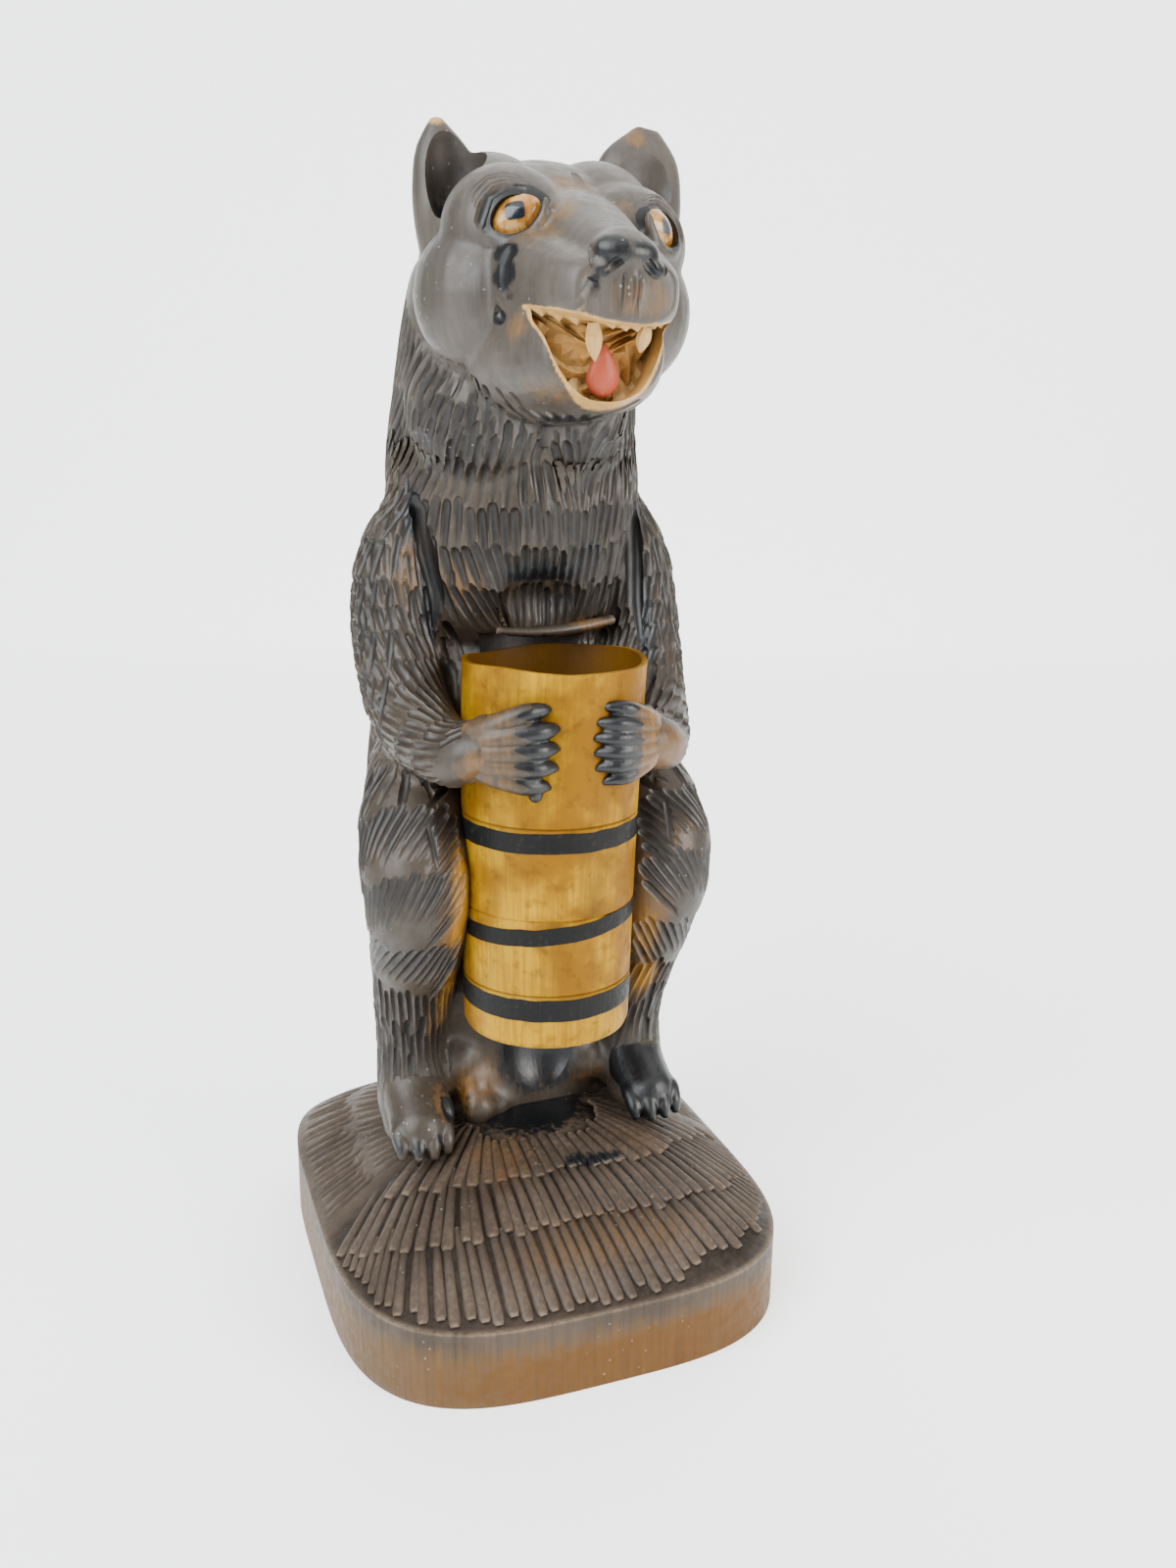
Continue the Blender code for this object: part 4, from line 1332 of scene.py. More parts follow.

# %% [markdown]
# ## Where the maker stained, painted and rubbed, and where shade is painted
#
# The stain was brushed on thinly over the forehead and the forearms, and left off the inner legs, where amber
# wood shows beside the barrel. Claws and nose were painted black, and the deep places are blackened with
# painted shade. Each list below is the brush work and the painted shade on one piece: soft ellipsoids at
# places in millimetres, with a strength.

# %% Values that follow from the carving, and painted shade
def ridges(thing):
    """How sharply the surface stands out at each point, which is where stain wears off first."""
    count = len(thing.data.vertices)
    places = point_places(thing)
    normals = np.empty(count * 3)
    thing.data.vertices.foreach_get("normal", normals)
    normals = normals.reshape(-1, 3)
    ends = np.empty(len(thing.data.edges) * 2, dtype=int)
    thing.data.edges.foreach_get("vertices", ends)
    first, second = ends.reshape(-1, 2).T
    way = places[second] - places[first]
    way /= np.maximum(np.linalg.norm(way, axis=1), 1e-6)[:, None]
    total = np.zeros(count)
    near = np.zeros(count)
    for here, sign in ((first, -1), (second, 1)):
        np.add.at(total, here, sign * (way * normals[here]).sum(axis=1))
        np.add.at(near, here, 1)
    return 2.2 * total / np.maximum(near, 1) - 0.12


CUT_DEPTH = 1.2
STRIP_DEPTH = 1.6
# SHADED is painted shade: it darkens the far cheek, the top of the forehead and the side of the head behind
# the right cheek, as if they were out of the light.
SHADED = [(27, -20, 200, 9, 14, 16, 0.5), (0, -26, 230, 16, 10, 6, 0.3), (-24, 0, 214, 6, 8, 12, 0.3)]
places = point_places(head)
x, y, z = places.T
in_ear = (z > 216) & (y > -25) & (np.abs(x) > 9)
depths = np.minimum(depth_under(head, bear_skin, CUT_DEPTH), np.where(in_ear, 0.35, 1))
# Painted shade under the jaw and the SHADED marks are added to the stored depth, so on the head that value
# also holds painted shade.
shade_under_jaw = np.clip((190 - z) / 8, 0, 1) * (y > -30)
store(head, "cut", np.maximum(depths, spots(places, SHADED)) + 0.2 * shade_under_jaw)
x, y, z = point_places(body).T
# The body's stored depth is raised so that the legs get darker towards the bottom, and painted shade darkens
# the front of the chest and the neck.
darker_low_and_chest_shade = 0.25 * np.clip((100 - z) / 15, 0, 1) + 0.2 * np.clip((z - 120) / 10, 0, 1) * (y < 4)
store(body, "cut", depth_under(body, bear_skin, CUT_DEPTH) + darker_low_and_chest_shade)
store(plinth, "cut", depth_under(plinth, plinth_skin, STRIP_DEPTH))
for piece in (body, head, plinth, paws, feet):
    store(piece, "worn", ridges(piece))
for helper in (guide, full_mound):
    bpy.data.objects.remove(helper)
print("depth and wear are stored on five pieces")

# %% [markdown]
# On the head the nose, the run of stain under the right eye and the lids are black. Painted shade blackens
# the hollow below the right nostril and the underside of the chin, and the ear hollows are darkened. The
# brown of the wood shows through on the forehead, the bridge and the chin, and the inside of the mouth was
# left bare.

# %% Brush work and painted shade on the head
places = point_places(head)
x, y, z = places.T
# black is partly paint and partly painted shade: the marks below the right nostril and under the chin are
# painted shade, and those in the ears darken the ear hollows.
black = [(-3.2, -62, 208.4, 4.6, 5, 3.0, 1), (2.8, -62, 208.2, 4.4, 5, 2.6, 0.85),
         (5.4, -61, 205.2, 2.2, 3, 1.8, 0.9), (-5.2, -61, 204.6, 1.8, 3, 1.4, 0.8),
         (-16.6, -38, 209.6, 2.8, 6, 2.6, 1), (-17.2, -39, 205.4, 2.8, 6, 3.6, 1),
         (-16.2, -40, 201.4, 1.8, 5, 2.2, 0.7), (-17.6, -37, 197.6, 2.2, 4, 1.9, 1),
         (-6.8, -60, 202.6, 1.9, 4, 2.4, 0.7), (-21.4, -12, 222.5, 3.6, 6, 6.5, 0.95),
         (-17.5, -13, 229, 3.0, 6, 6.0, 0.7), (-14.2, -42, 222.8, 5.5, 4, 1.3, 0.9),
         (17.7, -36, 222.2, 4.0, 4, 1.0, 0.6), (0, -33, 177.5, 9, 9, 3.4, 0.9),
         (17.8, -41, 204, 1.6, 5, 5, 0.6), (23.5, -9, 226, 3, 4, 6, 0.5)]
brown = [(0.7, -29, 226, 8, 10, 6, 0.7), (-6, -41, 218.5, 3.5, 7, 5, 0.7), (-9.5, -40, 211, 6, 8, 6, 0.7),
         (8.5, -38, 221, 6, 8, 5, 0.6), (4, -61, 200, 8, 5, 5, 0.55), (9, -42, 212, 5, 10, 6, 0.7),
         (-8, -46, 184.5, 8, 9, 4, 0.8), (5, -48, 182, 6, 8, 3.5, 0.6), (-15.5, -42, 195, 3, 6, 5, 0.7),
         (24.5, -4, 241, 3, 4, 3, 0.9)]
amber = [(-9.6, -37.5, 216.2, 2.0, 3, 4.6, 0.55), (-23.2, -8, 239.3, 2.4, 3.5, 1.6, 0.75),
         (25.7, -3, 243.0, 1.6, 3, 1.6, 0.4), (-18.6, -40, 211.2, 5.0, 3, 1.0, 0.25)]
lids = np.zeros(len(places))
for side in SIDES:
    centre, outer, rise, out = eye_frame(side)
    _, _, a, b, _, _ = EYES[side]
    offset = places - np.array([centre.x / MM, centre.y / MM, (centre.z - PLINTH_TOP) / MM])
    u = offset @ np.array(outer) / a
    v = offset @ np.array(rise) / b
    away = np.hypot(u, v)
    near = np.abs(offset @ np.array(out)) < 5
    lids = np.maximum(lids, near * np.clip((1.3 - away) / 0.12, 0, 0.85))
    brow = 0.8 if side < 0 else 0.3
    lids = np.maximum(lids, near * (v > -0.1) * np.clip((1.02 - np.hypot(u / 1.5, v / 1.85)) / 0.14, 0, brow))
store(head, "paint", np.maximum(spots(places, black), lids))
store(head, "thin", spots(places, brown))
below = np.array([lip_low(v) for v in x]) - 1.9 + 0.06 * np.abs(x)
above = np.array([lip_top(v) for v in x]) + 0.5
in_mouth = np.clip((z - below) / 0.8, 0, 1) * np.clip((above - z) / 0.5, 0, 1) * (y < -38)
in_mouth *= np.clip((np.where(x < 0, 16.4, 13.6) - np.abs(x)) / 0.8, 0, 1)
store(head, "bare", np.maximum(spots(places, amber), 0.95 * in_mouth))
print("head:", len(black), "black,", len(brown), "brown and", len(amber), "bare marks")

# %% [markdown]
# On the body painted shade blackens the deep places round the barrel, under the chest and in the armpits,
# black paint lies on a band of the chest and on the left foot, and the insides of the legs are bare amber
# wood.

# %% Brush work and painted shade on the body
places = point_places(body)
x, y, z = places.T
# Most black marks here are painted shade: under the chest's overhang, along the rim, in the armpits and under
# the barrel. The one high on the chest and the two low on the bear's left are black paint.
black = [(0, -9, 143.6, 14, 6, 2.6, 1), (5, -7, 136, 10, 6, 6, 0.5), (12, -10, 150, 5, 6, 8, 0.45),
         (0, -2, 125, 20, 9, 4.2, 0.85), (-25, 0, 135, 4, 6, 14, 0.85), (-28, 0, 157, 2.2, 5, 7, 0.9),
         (29, -5, 130, 3, 7, 16, 0.85), (27.5, 0, 153, 2, 5, 8, 0.6), (4, 3, 16, 14, 12, 16, 1),
         (25, -10, 12, 6, 8, 10, 0.8), (31, -3, 9, 9, 12, 10, 0.7)]
brown = [(-31, -5, 145, 7, 7, 10, 0.6), (-18, -6, 140, 6, 6, 8, 0.9), (-20, -34, 103, 9, 7, 6, 0.8),
         (24, -33, 104, 7, 8, 8, 0.9), (15, -3.0, 129.8, 9, 3, 1.8, 0.8), (31, -20, 78, 9, 8, 12, 0.45),
         (-26, -22, 70, 5, 6, 22, 0.9), (26, -20, 62, 6, 7, 20, 0.9), (-25, -8, 34, 6, 7, 16, 0.8),
         (28, -10, 38, 7, 7, 12, 0.9), (-14, 2, 8, 9, 9, 10, 0.6), (18, 3, 6, 7, 8, 6, 0.4)]
amber = [(-23.5, -22, 66, 3.4, 8, 22, 0.8), (-24, -12, 38, 4.0, 8, 14, 0.65), (26, -17, 55, 4, 7, 14, 0.6),
         (28.5, -11, 38, 5, 6, 8, 0.8), (-17.5, -2, 7, 3, 6, 8, 0.4), (-28, -12, 3, 8, 6, 3, 0.6)]
for name, marks in (("paint", black), ("thin", brown), ("bare", amber)):
    store(body, name, spots(places, marks))
print("body:", len(black), "black,", len(brown), "brown and", len(amber), "bare marks")

# %% [markdown]
# The fingers are black from the last joint on, with an uneven edge, and the left paw was rubbed thin behind
# it. The left foot is black all over, and the right one only on its claws.

# %% Brush work on the paws and the feet
places = point_places(paws)
x, y, z = places.T
turned_by = np.degrees(np.arctan2(np.abs(x), BARREL_Y - y))
store(paws, "paint", np.clip((np.where(x < 0, 32.5, 33) + 3.5 * np.sin(1.7 * z) - turned_by) / 5, 0, 1))
store(paws, "thin", np.where(x > 0, 1.0, 0.45) * np.clip((turned_by - 30) / 6, 0, 1))
store(paws, "bare", 0.3 * (x > 0) * np.clip((turned_by - 34) / 6, 0, 1))
store(paws, "cut", np.clip(-ridges(paws) * 1.5, 0, 1))

places = point_places(feet)
x, y, z = places.T
claws = [(-39.4, -15, 2.2, 2.2, 4, 3.2, 1), (-33.5, -16.6, 2.0, 2.4, 3, 2.6, 0.9),
         (-28.5, -14.0, 2.6, 2.2, 3, 2.6, 0.8), (-24.5, -8, 6, 2.6, 5, 6, 1)]
left_foot = (x > 0) * np.clip((20 - z - 0.4 * (x - 24)) / 4, 0, 1)
store(feet, "paint", np.maximum(spots(places, claws), left_foot))
store(feet, "thin", spots(places, [(-26, -6, 6, 4, 8, 8, 0.8)]))
store(feet, "bare", spots(places, [(-26.5, -3, 3, 3, 8, 5, 0.4)]))
store(feet, "cut", np.clip(-ridges(feet) * 1.5, 0, 1))
print("paws and feet:", len(claws), "black claws on the right foot")

# %% [markdown]
# The plinth's wall is bare and amber low down in front, with the dark stain run over its upper edge. The
# mound is rubbed brown in places, and painted shade blackens it between the feet and round the barrel's foot.

# %% Brush work and painted shade on the plinth
places = point_places(plinth)
x, y, z = places.T
z = z + PLINTH_TOP / MM
wall = np.clip((PLINTH_WALL / MM - 1 - z) / 2, 0, 1)
outward = np.degrees(np.arctan2(y, x))
front = np.clip(1 - np.abs(outward + 68) / 62, 0, 1)
low_part = np.clip((15.5 - z) / 6, 0, 1) * (0.15 + 0.85 * front ** 0.6)
# The black spots are painted shade between the feet and round the barrel's foot; the dark upper edge of the
# wall below is stain.
black = [(9, -27, -2, 10, 3, 4, 0.8), (0, 0, 0, 20, 18, 5, 0.85), (26, -14, 0, 9, 8, 4, 0.5)]
brown = [(4, -48, -12, 34, 10, 8, 0.6), (25, -22, -2, 14, 10, 6, 0.4), (-16, -20, 0, 16, 12, 6, 0.5)]
amber = [(-28, -14, 2, 11, 9, 5, 0.7), (-15, -26, -2, 9, 9, 5, 0.35)]
store(plinth, "bare", np.maximum(wall * low_part, spots(places, amber)))
store(plinth, "thin", np.maximum(wall * np.clip((17.5 - z) / 5, 0, 1) * 0.9, spots(places, brown)))
store(plinth, "paint", np.maximum(wall * np.clip((z - 14) / 4, 0, 1) * 0.75, spots(places, black)))
print("plinth:", len(black), "black,", len(brown), "brown and", len(amber), "bare marks")

# %% [markdown]
# The pupils are small rounded squares, dark in the right eye and worn pale in the left. The barrel is dirty
# along the scored lines and has brown smudges, and painted shade darkens it inside its mouth and round the
# sides next to the arms and the legs.

# %% Pupils and the barrel's marks
PUPIL = {-1: (-0.1, 0.5, 2.1, 1.8), 1: (-0.2, 0.2, 1.5, 1.6)}
PUPIL_TILT = 6
pupils = np.zeros(len(eyes.data.vertices))
for i, vertex in enumerate(eyes.data.vertices):
    side = -1 if vertex.co.x < 0 else 1
    centre, outer, rise, _ = eye_frame(side, PUPIL_TILT)
    across, over, half_width, half_height = PUPIL[side]
    u = ((vertex.co - centre).dot(outer) / MM - across) / half_width
    v = ((vertex.co - centre).dot(rise) / MM - over) / half_height
    pupils[i] = (1.0 - (abs(u) ** 4 + abs(v) ** 4) ** 0.25) / 0.12 + 0.5
store(eyes, "paint", pupils)
store(eyes, "side", [0.0 if vertex.co.x < 0 else 1.0 for vertex in eyes.data.vertices])

places = point_places(barrel)
x, y, z = places.T
reach = np.hypot(x - RIM_LEAN * np.clip((z - FOOT) / (RIM - FOOT), 0, 1) ** 2, y - BARREL_Y)
# inside is painted shade: the whole inside of the barrel's mouth is darkened.
inner_side = (reach < barrel_radius(z) - 0.9) & (z > HOLLOW_FLOOR - 1)
store(barrel, "inside", inner_side)
scored = np.zeros(len(places))
for height, breadth, slope in HOOPS:
    line = height + breadth / 2 + LINE_OVER_HOOP + slope * x
    scored = np.maximum(scored, np.clip(1 - np.abs(z - line) / 0.5, 0, 1))
store(barrel, "scored", scored)
# beside is painted shade, darkening the barrel where it turns away next to the arms and the legs; the smudges
# are brown stain.
beside = np.clip((np.degrees(np.arctan2(np.abs(x), BARREL_Y - y)) - 66) / 16, 0, 1)
smudges = [(-4, -36, 116, 9, 8, 9, 0.45), (8, -36, 108, 5, 8, 12, 0.3), (-14, -33, 118, 5, 8, 8, 0.35),
           (-6, -36, 74, 10, 8, 5, 0.3), (2, -36, 34, 12, 8, 2.5, 0.3), (-16, -30, 60, 4, 10, 30, 0.3),
           (14, -34, 82, 5, 8, 3, 0.35)]
store(barrel, "stained", np.maximum(beside, spots(places, smudges)))
print("barrel:", int(inner_side.sum()), "points inside and", len(smudges), "smudges")

# %% [markdown]
# ## Finishes
#
# Every finish is a little graph of shader nodes. What several of them need is a group with its own inputs:
# the fibres of the wood, cloudy patches, pale specks of dust and painted glints, and the stain that reads the
# stored values.

# %% Small helpers for node graphs
def wire(tree, source, socket):
    """Joins an output, or sets a plain value, to an input."""
    if isinstance(source, bpy.types.NodeSocket):
        tree.links.new(source, socket)
    else:
        socket.default_value = source


def arithmetic(tree, operation, a, b=0.0):
    """A Math node's result."""
    node = tree.nodes.new("ShaderNodeMath")
    node.operation = operation
    wire(tree, a, node.inputs[0])
    wire(tree, b, node.inputs[1])
    return node.outputs[0]


def ramp(tree, value, start, stop, low_value=0.0, high_value=1.0):
    """A value that goes smoothly from low_value at start to high_value at stop."""
    node = tree.nodes.new("ShaderNodeMapRange")
    node.interpolation_type = "SMOOTHSTEP"
    for socket, given in zip(("Value", "From Min", "From Max", "To Min", "To Max"),
                             (value, start, stop, low_value, high_value)):
        wire(tree, given, node.inputs[socket])
    return node.outputs["Result"]


def blend(tree, factor, a, b, way="MIX"):
    """A mix of two colours."""
    node = tree.nodes.new("ShaderNodeMix")
    node.data_type = "RGBA"
    node.blend_type = way
    wire(tree, factor, node.inputs[0])
    wire(tree, a, node.inputs[6])
    wire(tree, b, node.inputs[7])
    return node.outputs[2]


NOISE_ROUGHNESS = 0.55


def noise(tree, scale, detail=3.0, stretch=(1, 1, 1)):
    """Noise over the object, stretched by shrinking some of its coordinates."""
    coordinates = tree.nodes.new("ShaderNodeTexCoord")
    squeeze = tree.nodes.new("ShaderNodeMapping")
    squeeze.inputs["Scale"].default_value = stretch
    tree.links.new(coordinates.outputs["Object"], squeeze.inputs["Vector"])
    node = tree.nodes.new("ShaderNodeTexNoise")
    tree.links.new(squeeze.outputs["Vector"], node.inputs["Vector"])
    wire(tree, scale, node.inputs["Scale"])
    node.inputs["Detail"].default_value = detail
    node.inputs["Roughness"].default_value = NOISE_ROUGHNESS
    return node.outputs["Fac"]


def stored(tree, name):
    """A value stored on the points of the piece."""
    node = tree.nodes.new("ShaderNodeAttribute")
    node.attribute_name = name
    return node.outputs["Fac"]


def new_group(name, inputs, outputs):
    """An empty node group: inputs by name and default value, and outputs by name."""
    tree = bpy.data.node_groups.new(name, "ShaderNodeTree")
    for label, value in inputs.items():
        kind = "NodeSocketFloat" if isinstance(value, float) else "NodeSocketColor"
        tree.interface.new_socket(label, in_out="INPUT", socket_type=kind).default_value = value
    for label in outputs:
        kind = "NodeSocketColor" if label == "Colour" else "NodeSocketFloat"
        tree.interface.new_socket(label, in_out="OUTPUT", socket_type=kind)
    return tree, tree.nodes.new("NodeGroupInput").outputs, tree.nodes.new("NodeGroupOutput").inputs


def placed(tree, group, **values):
    """A group used in a tree with some inputs given, where _ in a name stands for a space."""
    node = tree.nodes.new("ShaderNodeGroup")
    node.node_tree = group
    for label, value in values.items():
        wire(tree, value, node.inputs[label.replace("_", " ")])
    return node.outputs


print("a new group starts with", len(bpy.data.node_groups), "others")

# %% [markdown]
# The grain runs up through the whole block, so its fibres are noise that is stretched along the height. A
# finer noise gives the pores. Both depend on place alone, so they run on from one piece to the next as in
# one block.

# %% The fibres of the wood
fibres, given, result = new_group("wood_fibres", {"Per Metre": 900.0, "Contrast": 1.0}, ("Lines", "Pores"))
lines = noise(fibres, given["Per Metre"], 4.0, (1, 1, 0.05))
spread = arithmetic(fibres, "MULTIPLY", arithmetic(fibres, "SUBTRACT", lines, 0.5), given["Contrast"])
fibres.links.new(arithmetic(fibres, "ADD", spread, 0.5), result["Lines"])
pore_scale = arithmetic(fibres, "MULTIPLY", given["Per Metre"], 2.4)
fibres.links.new(ramp(fibres, noise(fibres, pore_scale, 2.0, (1, 1, 0.12)), 0.62, 0.72), result["Pores"])
print("fibres", len(fibres.nodes), "nodes")

# %% [markdown]
# Stain and lacquer lie thicker in some places than in others, which shows as soft clouds and a finer
# mottle.

# %% Cloudy patches
patches, given, result = new_group("cloudy_patches", {"Per Metre": 60.0}, ("Patch", "Mottle"))
patches.links.new(ramp(patches, noise(patches, given["Per Metre"], 4.0), 0.32, 0.68), result["Patch"])
mottle_scale = arithmetic(patches, "MULTIPLY", given["Per Metre"], 7.0)
patches.links.new(noise(patches, mottle_scale, 4.0), result["Mottle"])
print("patches", len(patches.nodes), "nodes")

# %% [markdown]
# Pale specks stand for dust that settled in the wet lacquer and for painted glints. Dots in the middle of
# Voronoi cells stand for them, and a broad noise says where they gather.

# %% Specks of dust and painted glints
SPECK_INPUTS = {"Per Metre": 520.0, "Size": 0.14, "Amount": 0.5}
glints_and_dust, given, result = new_group("dust_and_glint_specks", SPECK_INPUTS, ("Speck",))
cells = glints_and_dust.nodes.new("ShaderNodeTexVoronoi")
spots_at = glints_and_dust.nodes.new("ShaderNodeTexCoord")
glints_and_dust.links.new(spots_at.outputs["Object"], cells.inputs["Vector"])
glints_and_dust.links.new(given["Per Metre"], cells.inputs["Scale"])
dot = arithmetic(glints_and_dust, "LESS_THAN", cells.outputs["Distance"], given["Size"])
where = ramp(glints_and_dust, noise(glints_and_dust, 55.0, 3.0), 0.55, 0.7)
glints_and_dust.links.new(arithmetic(glints_and_dust, "MULTIPLY", arithmetic(glints_and_dust, "MULTIPLY", dot, where), given["Amount"]),
                 result["Speck"])
print("glints_and_dust", len(glints_and_dust.nodes), "nodes")

# %% [markdown]
# The stain reads where the carving is deep, worn, thin, bare or painted, and lays one tone over another in
# the order in which the maker worked: stain first, then rubbing back, then black. Painted shade rides on the
# stored depth and on the stored paint, so it takes the hollow tone and the black. Fibres break up every edge.

# %% The brushed stain
FACE = (0.036, 0.025, 0.0155, 1)
RIDGE = (0.118, 0.082, 0.047, 1)
HOLLOW_AND_SHADE = (0.006, 0.0035, 0.002, 1)
THIN = (0.105, 0.052, 0.015, 1)
BARE = (0.28, 0.130, 0.008, 1)
PAINT_AND_SHADE = (0.003, 0.0034, 0.0042, 1)
STAIN_INPUTS = {"Face": FACE, "Ridge": RIDGE, "Hollow And Shade": HOLLOW_AND_SHADE, "Thin": THIN, "Bare": BARE, "Paint": PAINT_AND_SHADE,
                "Lines": 0.5, "Patch": 0.5, "Mottle": 0.5}
stain, given, result = new_group("brushed_stain", STAIN_INPUTS, ("Colour", "Paint And Shade Share"))
unrest = arithmetic(stain, "SUBTRACT", given["Mottle"], 0.5)
fibre = arithmetic(stain, "SUBTRACT", given["Lines"], 0.5)


def uneven(mask, amount):
    """A stored mask whose soft edge is broken up by fibres and mottle."""
    wobble = arithmetic(stain, "MULTIPLY", arithmetic(stain, "ADD", unrest, fibre), amount)
    return arithmetic(stain, "ADD", mask, wobble)


# deep holds the depth of the cuts and the painted shade that was added to it; both are drawn towards the
# hollow-and-shade tone.
deep = ramp(stain, uneven(stored(stain, "cut"), 0.4), 0.12, 0.85)
worn = ramp(stain, uneven(stored(stain, "worn"), 0.5), 0.1, 0.75)
colour = blend(stain, worn, given["Face"], given["Ridge"])
colour = blend(stain, ramp(stain, given["Patch"], 0.0, 1.0, 0.0, 0.35), colour, given["Hollow And Shade"])
thin = blend(stain, ramp(stain, stored(stain, "worn"), 0.1, 0.8, 0.0, 0.4), given["Thin"], given["Ridge"])
colour = blend(stain, ramp(stain, uneven(stored(stain, "thin"), 0.7), 0.15, 0.85), colour, thin)
colour = blend(stain, ramp(stain, uneven(stored(stain, "bare"), 0.7), 0.15, 0.8), colour, given["Bare"])
kept_bare = arithmetic(stain, "MULTIPLY", stored(stain, "bare"), 0.75)
dark_share = arithmetic(stain, "MULTIPLY", deep, arithmetic(stain, "SUBTRACT", 1.0, kept_bare))
colour = blend(stain, dark_share, colour, given["Hollow And Shade"])
# The stored paint holds black paint and painted shade alike, so painted shade gets the black tone and the
# paint's gloss.
painted = ramp(stain, uneven(stored(stain, "paint"), 0.8), 0.3, 0.62)
colour = blend(stain, painted, colour, given["Paint"])
tone = arithmetic(stain, "ADD", 1.0, arithmetic(stain, "MULTIPLY", fibre, 0.7))
toned = stain.nodes.new("ShaderNodeCombineColor")
for channel in toned.inputs:
    wire(stain, tone, channel)
colour = blend(stain, 1.0, colour, toned.outputs[0], "MULTIPLY")
stain.links.new(colour, result["Colour"])
stain.links.new(painted, result["Paint And Shade Share"])
print("node groups:", [group.name for group in bpy.data.node_groups])

# %% [markdown]
# ### Stained and lacquered wood
#
# A dark stain under a clear coat: the coat is a smooth second layer that reflects the room, while the wood
# under it stays rougher. Fibres, pores and brush marks raise the surface by hundredths of a millimetre.

# %% Stained wood
PAINTED_COAT = 0.3
DUST_AND_GLINT_TONE = (0.3, 0.28, 0.25, 1)


def lacquered(name, coat, coat_roughness, gloss):
    """A material with a clear coat, its tree and its shader."""
    material = bpy.data.materials.new(name)
    material.use_nodes = True
    surface = material.node_tree.nodes["Principled BSDF"]
    surface.inputs["Coat Weight"].default_value = coat
    surface.inputs["Coat Roughness"].default_value = coat_roughness
    surface.inputs["Specular IOR Level"].default_value = gloss
    return material, material.node_tree, surface


def raised(tree, surface, height, strength, distance):
    """Bump from a height, on the shader's normal."""
    bump = tree.nodes.new("ShaderNodeBump")
    bump.inputs["Strength"].default_value = strength
    bump.inputs["Distance"].default_value = distance
    tree.links.new(height, bump.inputs["Height"])
    tree.links.new(bump.outputs["Normal"], surface.inputs["Normal"])


def stained_wood(name, coat=PAINTED_COAT, gloss=0.28, fibre_scale=900.0, **stain_values):
    """The dark stained wood of the bear and its plinth, glossier where it is painted."""
    material, tree, surface = lacquered(name, coat, 0.36, gloss)
    wood = placed(tree, fibres, Per_Metre=fibre_scale)
    cloud = placed(tree, patches, Per_Metre=55.0)
    dust_and_glints = placed(tree, glints_and_dust, Per_Metre=480.0)
    coloured = placed(tree, stain, Lines=wood["Lines"], Patch=cloud["Patch"], Mottle=cloud["Mottle"],
                      **stain_values)
    # The pale speck tone is dust in the lacquer and painted glints.
    tree.links.new(blend(tree, dust_and_glints["Speck"], coloured["Colour"], DUST_AND_GLINT_TONE), surface.inputs["Base Color"])
    if coat != PAINTED_COAT:
        clear = ramp(tree, coloured["Paint And Shade Share"], 0.0, 1.0, coat, PAINTED_COAT)
        tree.links.new(clear, surface.inputs["Coat Weight"])
    rough = ramp(tree, cloud["Mottle"], 0.3, 0.7, 0.44, 0.62)
    rough = arithmetic(tree, "SUBTRACT", rough, arithmetic(tree, "MULTIPLY", coloured["Paint And Shade Share"], 0.12))
    tree.links.new(rough, surface.inputs["Roughness"])
    height = arithmetic(tree, "ADD", wood["Lines"], arithmetic(tree, "MULTIPLY", cloud["Mottle"], 0.8))
    height = arithmetic(tree, "ADD", height, arithmetic(tree, "MULTIPLY", dust_and_glints["Speck"], 1.2))
    raised(tree, surface, height, 0.35, 0.0004)
    return material


fur_wood = stained_wood("stained_wood")
face_wood = stained_wood("stained_face", coat=0.28, fibre_scale=700.0, Face=(0.062, 0.051, 0.041, 1),
                         Thin=(0.11, 0.060, 0.023, 1), Bare=(0.42, 0.235, 0.065, 1))
plinth_wood = stained_wood("stained_plinth", coat=0.06, gloss=0.15, Face=(0.060, 0.043, 0.031, 1),
                           Ridge=(0.145, 0.105, 0.072, 1), Thin=(0.085, 0.046, 0.018, 1),
                           Bare=(0.085, 0.036, 0.005, 1))
print("stained wood:", [wood.name for wood in (fur_wood, face_wood, plinth_wood)])

# %% [markdown]
# The barrel, the mouth and the teeth have no stain. A yellow lacquer makes the barrel amber, and brown has
# gathered in its fibres, on its smudges and along its scored lines, while painted shade darkens it inside its
# mouth and at its sides next to the arms and the legs.

# %% Bare wood
def bare_wood(name, pale, deep_tone, dirt_and_shade_tone, dirt_and_shade=None):
    """Unstained wood under lacquer, with fibres, brown smudges, and grime and painted shade where stored
    values say so.
    """
    material, tree, surface = lacquered(name, 0.04, 0.3, 0.08)
    wood = placed(tree, fibres, Per_Metre=1100.0, Contrast=1.4)
    cloud = placed(tree, patches, Per_Metre=48.0)
    colour = blend(tree, ramp(tree, cloud["Patch"], 0.1, 0.9), pale, deep_tone)
    colour = blend(tree, ramp(tree, wood["Lines"], 0.35, 0.7, 0.0, 0.5), colour, deep_tone)
    colour = blend(tree, ramp(tree, cloud["Mottle"], 0.52, 0.7, 0.0, 0.45), colour, dirt_and_shade_tone)
    for mask, share in (dirt_and_shade or {}).items():
        colour = blend(tree, arithmetic(tree, "MULTIPLY", stored(tree, mask), share), colour, dirt_and_shade_tone)
    tree.links.new(colour, surface.inputs["Base Color"])
    tree.links.new(ramp(tree, cloud["Mottle"], 0.3, 0.7, 0.42, 0.6), surface.inputs["Roughness"])
    raised(tree, surface, arithmetic(tree, "ADD", wood["Lines"], wood["Pores"]), 0.3, 0.0003)
    return material


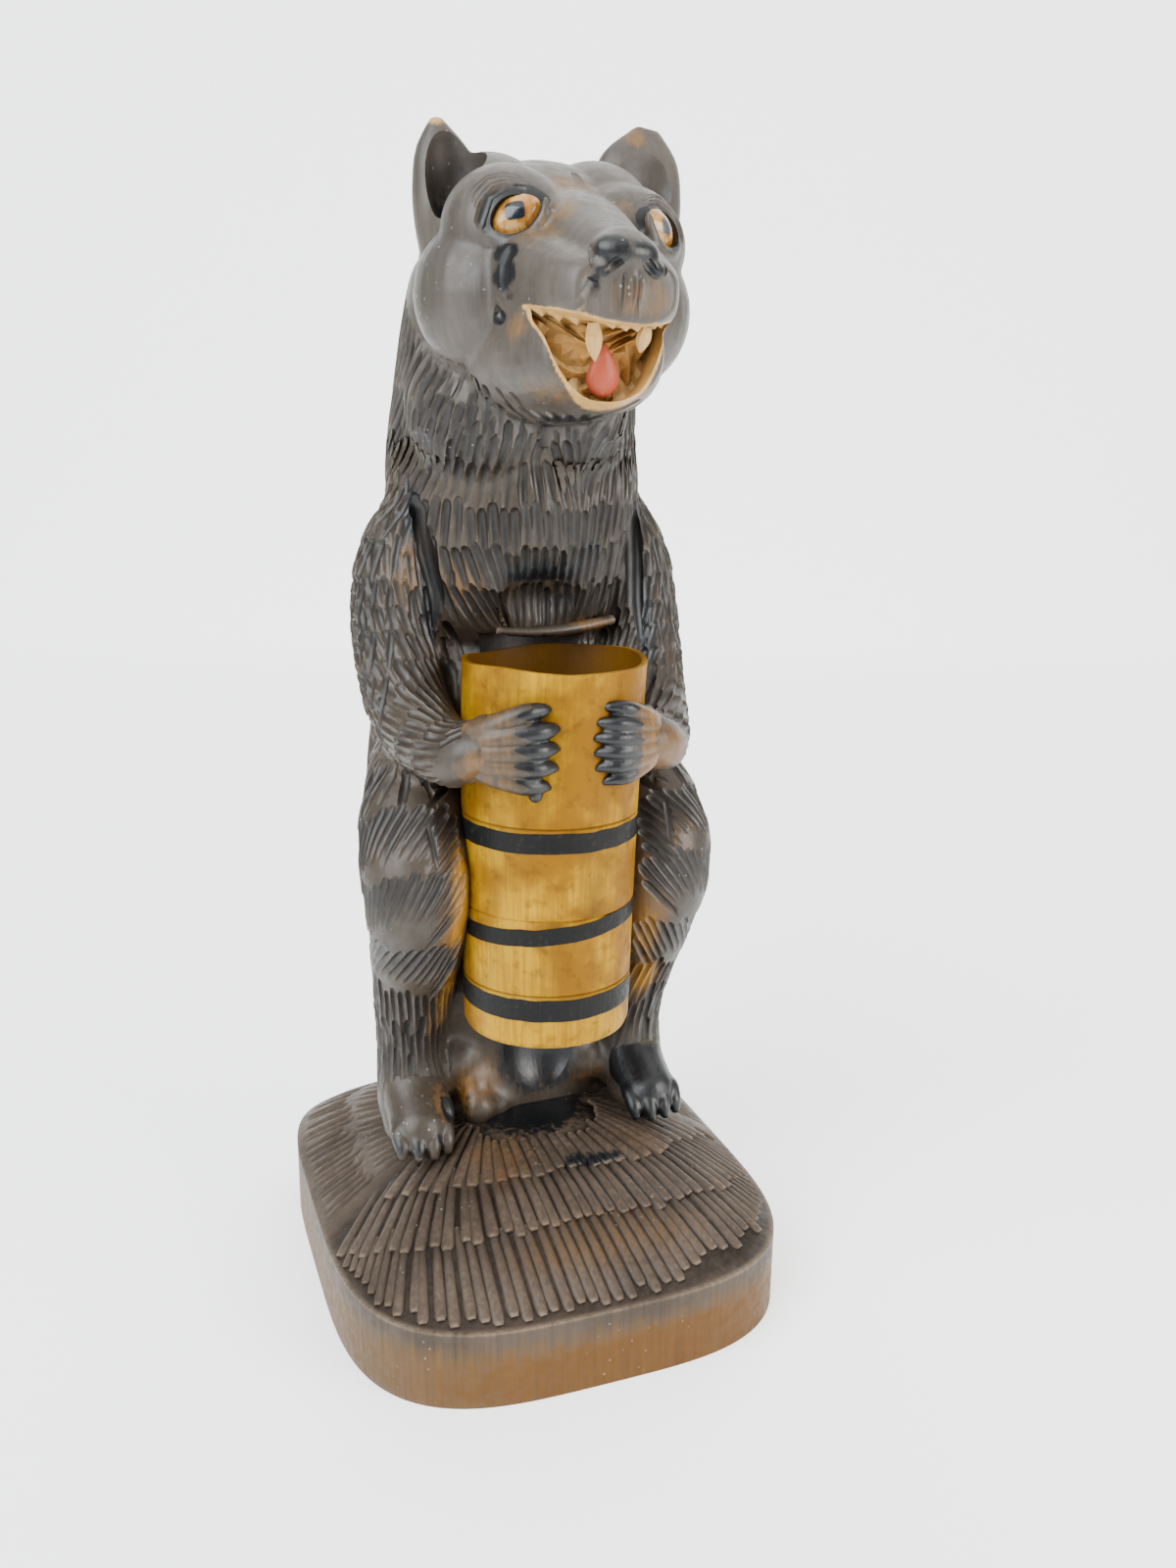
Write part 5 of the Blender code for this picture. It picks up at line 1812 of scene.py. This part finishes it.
# Of these values, inside and the part of stained that comes from beside are painted shade; scored and the
# smudges are grime and stain.
amber_wood = bare_wood("amber_wood", (0.40, 0.215, 0.003, 1), (0.18, 0.078, 0.001, 1),
                       (0.075, 0.030, 0.003, 1), {"inside": 0.9, "scored": 0.8, "stained": 0.5})
mouth_wood = bare_wood("mouth_wood", (0.52, 0.33, 0.12, 1), (0.34, 0.17, 0.045, 1), (0.13, 0.055, 0.014, 1))
tooth_wood = bare_wood("tooth_wood", (0.58, 0.41, 0.19, 1), (0.44, 0.27, 0.10, 1), (0.2, 0.1, 0.03, 1))
print("bare wood:", [wood.name for wood in (amber_wood, mouth_wood, tooth_wood)])

# %% [markdown]
# The hoops and the tongue were painted with a brush, and the paint has worn through to the wood along its
# fibres.

# %% Paint on the hoops and the tongue
def painted_wood(name, colour, worn_colour, coat):
    """Brushed paint on wood, worn through in places."""
    material, tree, surface = lacquered(name, coat, 0.3, 0.12)
    wood = placed(tree, fibres, Per_Metre=1300.0, Contrast=1.5)
    cloud = placed(tree, patches, Per_Metre=110.0)
    worn = arithmetic(tree, "MULTIPLY", ramp(tree, cloud["Mottle"], 0.5, 0.72), 0.5)
    worn = arithmetic(tree, "MULTIPLY", worn, ramp(tree, wood["Lines"], 0.4, 0.6))
    tree.links.new(blend(tree, worn, colour, worn_colour), surface.inputs["Base Color"])
    tree.links.new(ramp(tree, cloud["Mottle"], 0.3, 0.7, 0.38, 0.6), surface.inputs["Roughness"])
    raised(tree, surface, arithmetic(tree, "ADD", wood["Lines"], cloud["Mottle"]), 0.3, 0.0003)
    return material


hoop_paint = painted_wood("black_hoops", (0.005, 0.005, 0.005, 1), (0.028, 0.023, 0.015, 1), 0.02)
tongue_paint = painted_wood("red_tongue", (0.32, 0.060, 0.030, 1), (0.38, 0.11, 0.06, 1), 0.12)
print("paint:", [paint.name for paint in (hoop_paint, tongue_paint)])

# %% [markdown]
# The irises are the amber wood itself, darker along the fibres, under the glossiest lacquer of all. The
# pupil is painted where the stored value says so.

# %% The eyes' finish
eye_paint, tree, surface = lacquered("painted_eyes", 0.5, 0.1, 0.3)
wood = placed(tree, fibres, Per_Metre=1500.0, Contrast=1.6)
cloud = placed(tree, patches, Per_Metre=260.0)
iris = blend(tree, ramp(tree, cloud["Patch"], 0.2, 0.8), (0.42, 0.225, 0.050, 1), (0.30, 0.115, 0.010, 1))
iris = blend(tree, ramp(tree, wood["Lines"], 0.5, 0.75, 0.0, 0.6), iris, (0.16, 0.055, 0.006, 1))
pupil = blend(tree, stored(tree, "side"), (0.003, 0.005, 0.009, 1), (0.06, 0.065, 0.075, 1))
tree.links.new(blend(tree, stored(tree, "paint"), iris, pupil), surface.inputs["Base Color"])
tree.links.new(ramp(tree, cloud["Mottle"], 0.3, 0.7, 0.2, 0.4), surface.inputs["Roughness"])
raised(tree, surface, wood["Lines"], 0.2, 0.0002)
print("materials:", [material.name for material in bpy.data.materials])

# %% [markdown]
# ## Dress the pieces
#
# Each piece gets its finish, moves with the frame's one body and stands for the carved bear of the CAD
# model.

# %% Dress the pieces
FINISHES = ((body, fur_wood), (head, face_wood), (plinth, plinth_wood), (barrel, amber_wood),
            (hoops, hoop_paint), (paws, fur_wood), (feet, fur_wood), (eyes, eye_paint), (lining, mouth_wood),
            (teeth, tooth_wood), (tongue, tongue_paint))
FACETED = (lining, teeth)
SHARP_ANGLE = math.radians(40)
for piece, finish in FINISHES:
    piece.data.materials.clear()
    piece.data.materials.append(finish)
    if piece not in FACETED:
        piece.data.shade_smooth()
        piece.data.set_sharp_from_angle(angle=SHARP_ANGLE)
    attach(piece, "root")
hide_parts("carved_bear")
print(len(FINISHES), "pieces,", sum(triangles(piece) for piece, _ in FINISHES), "triangles in all")
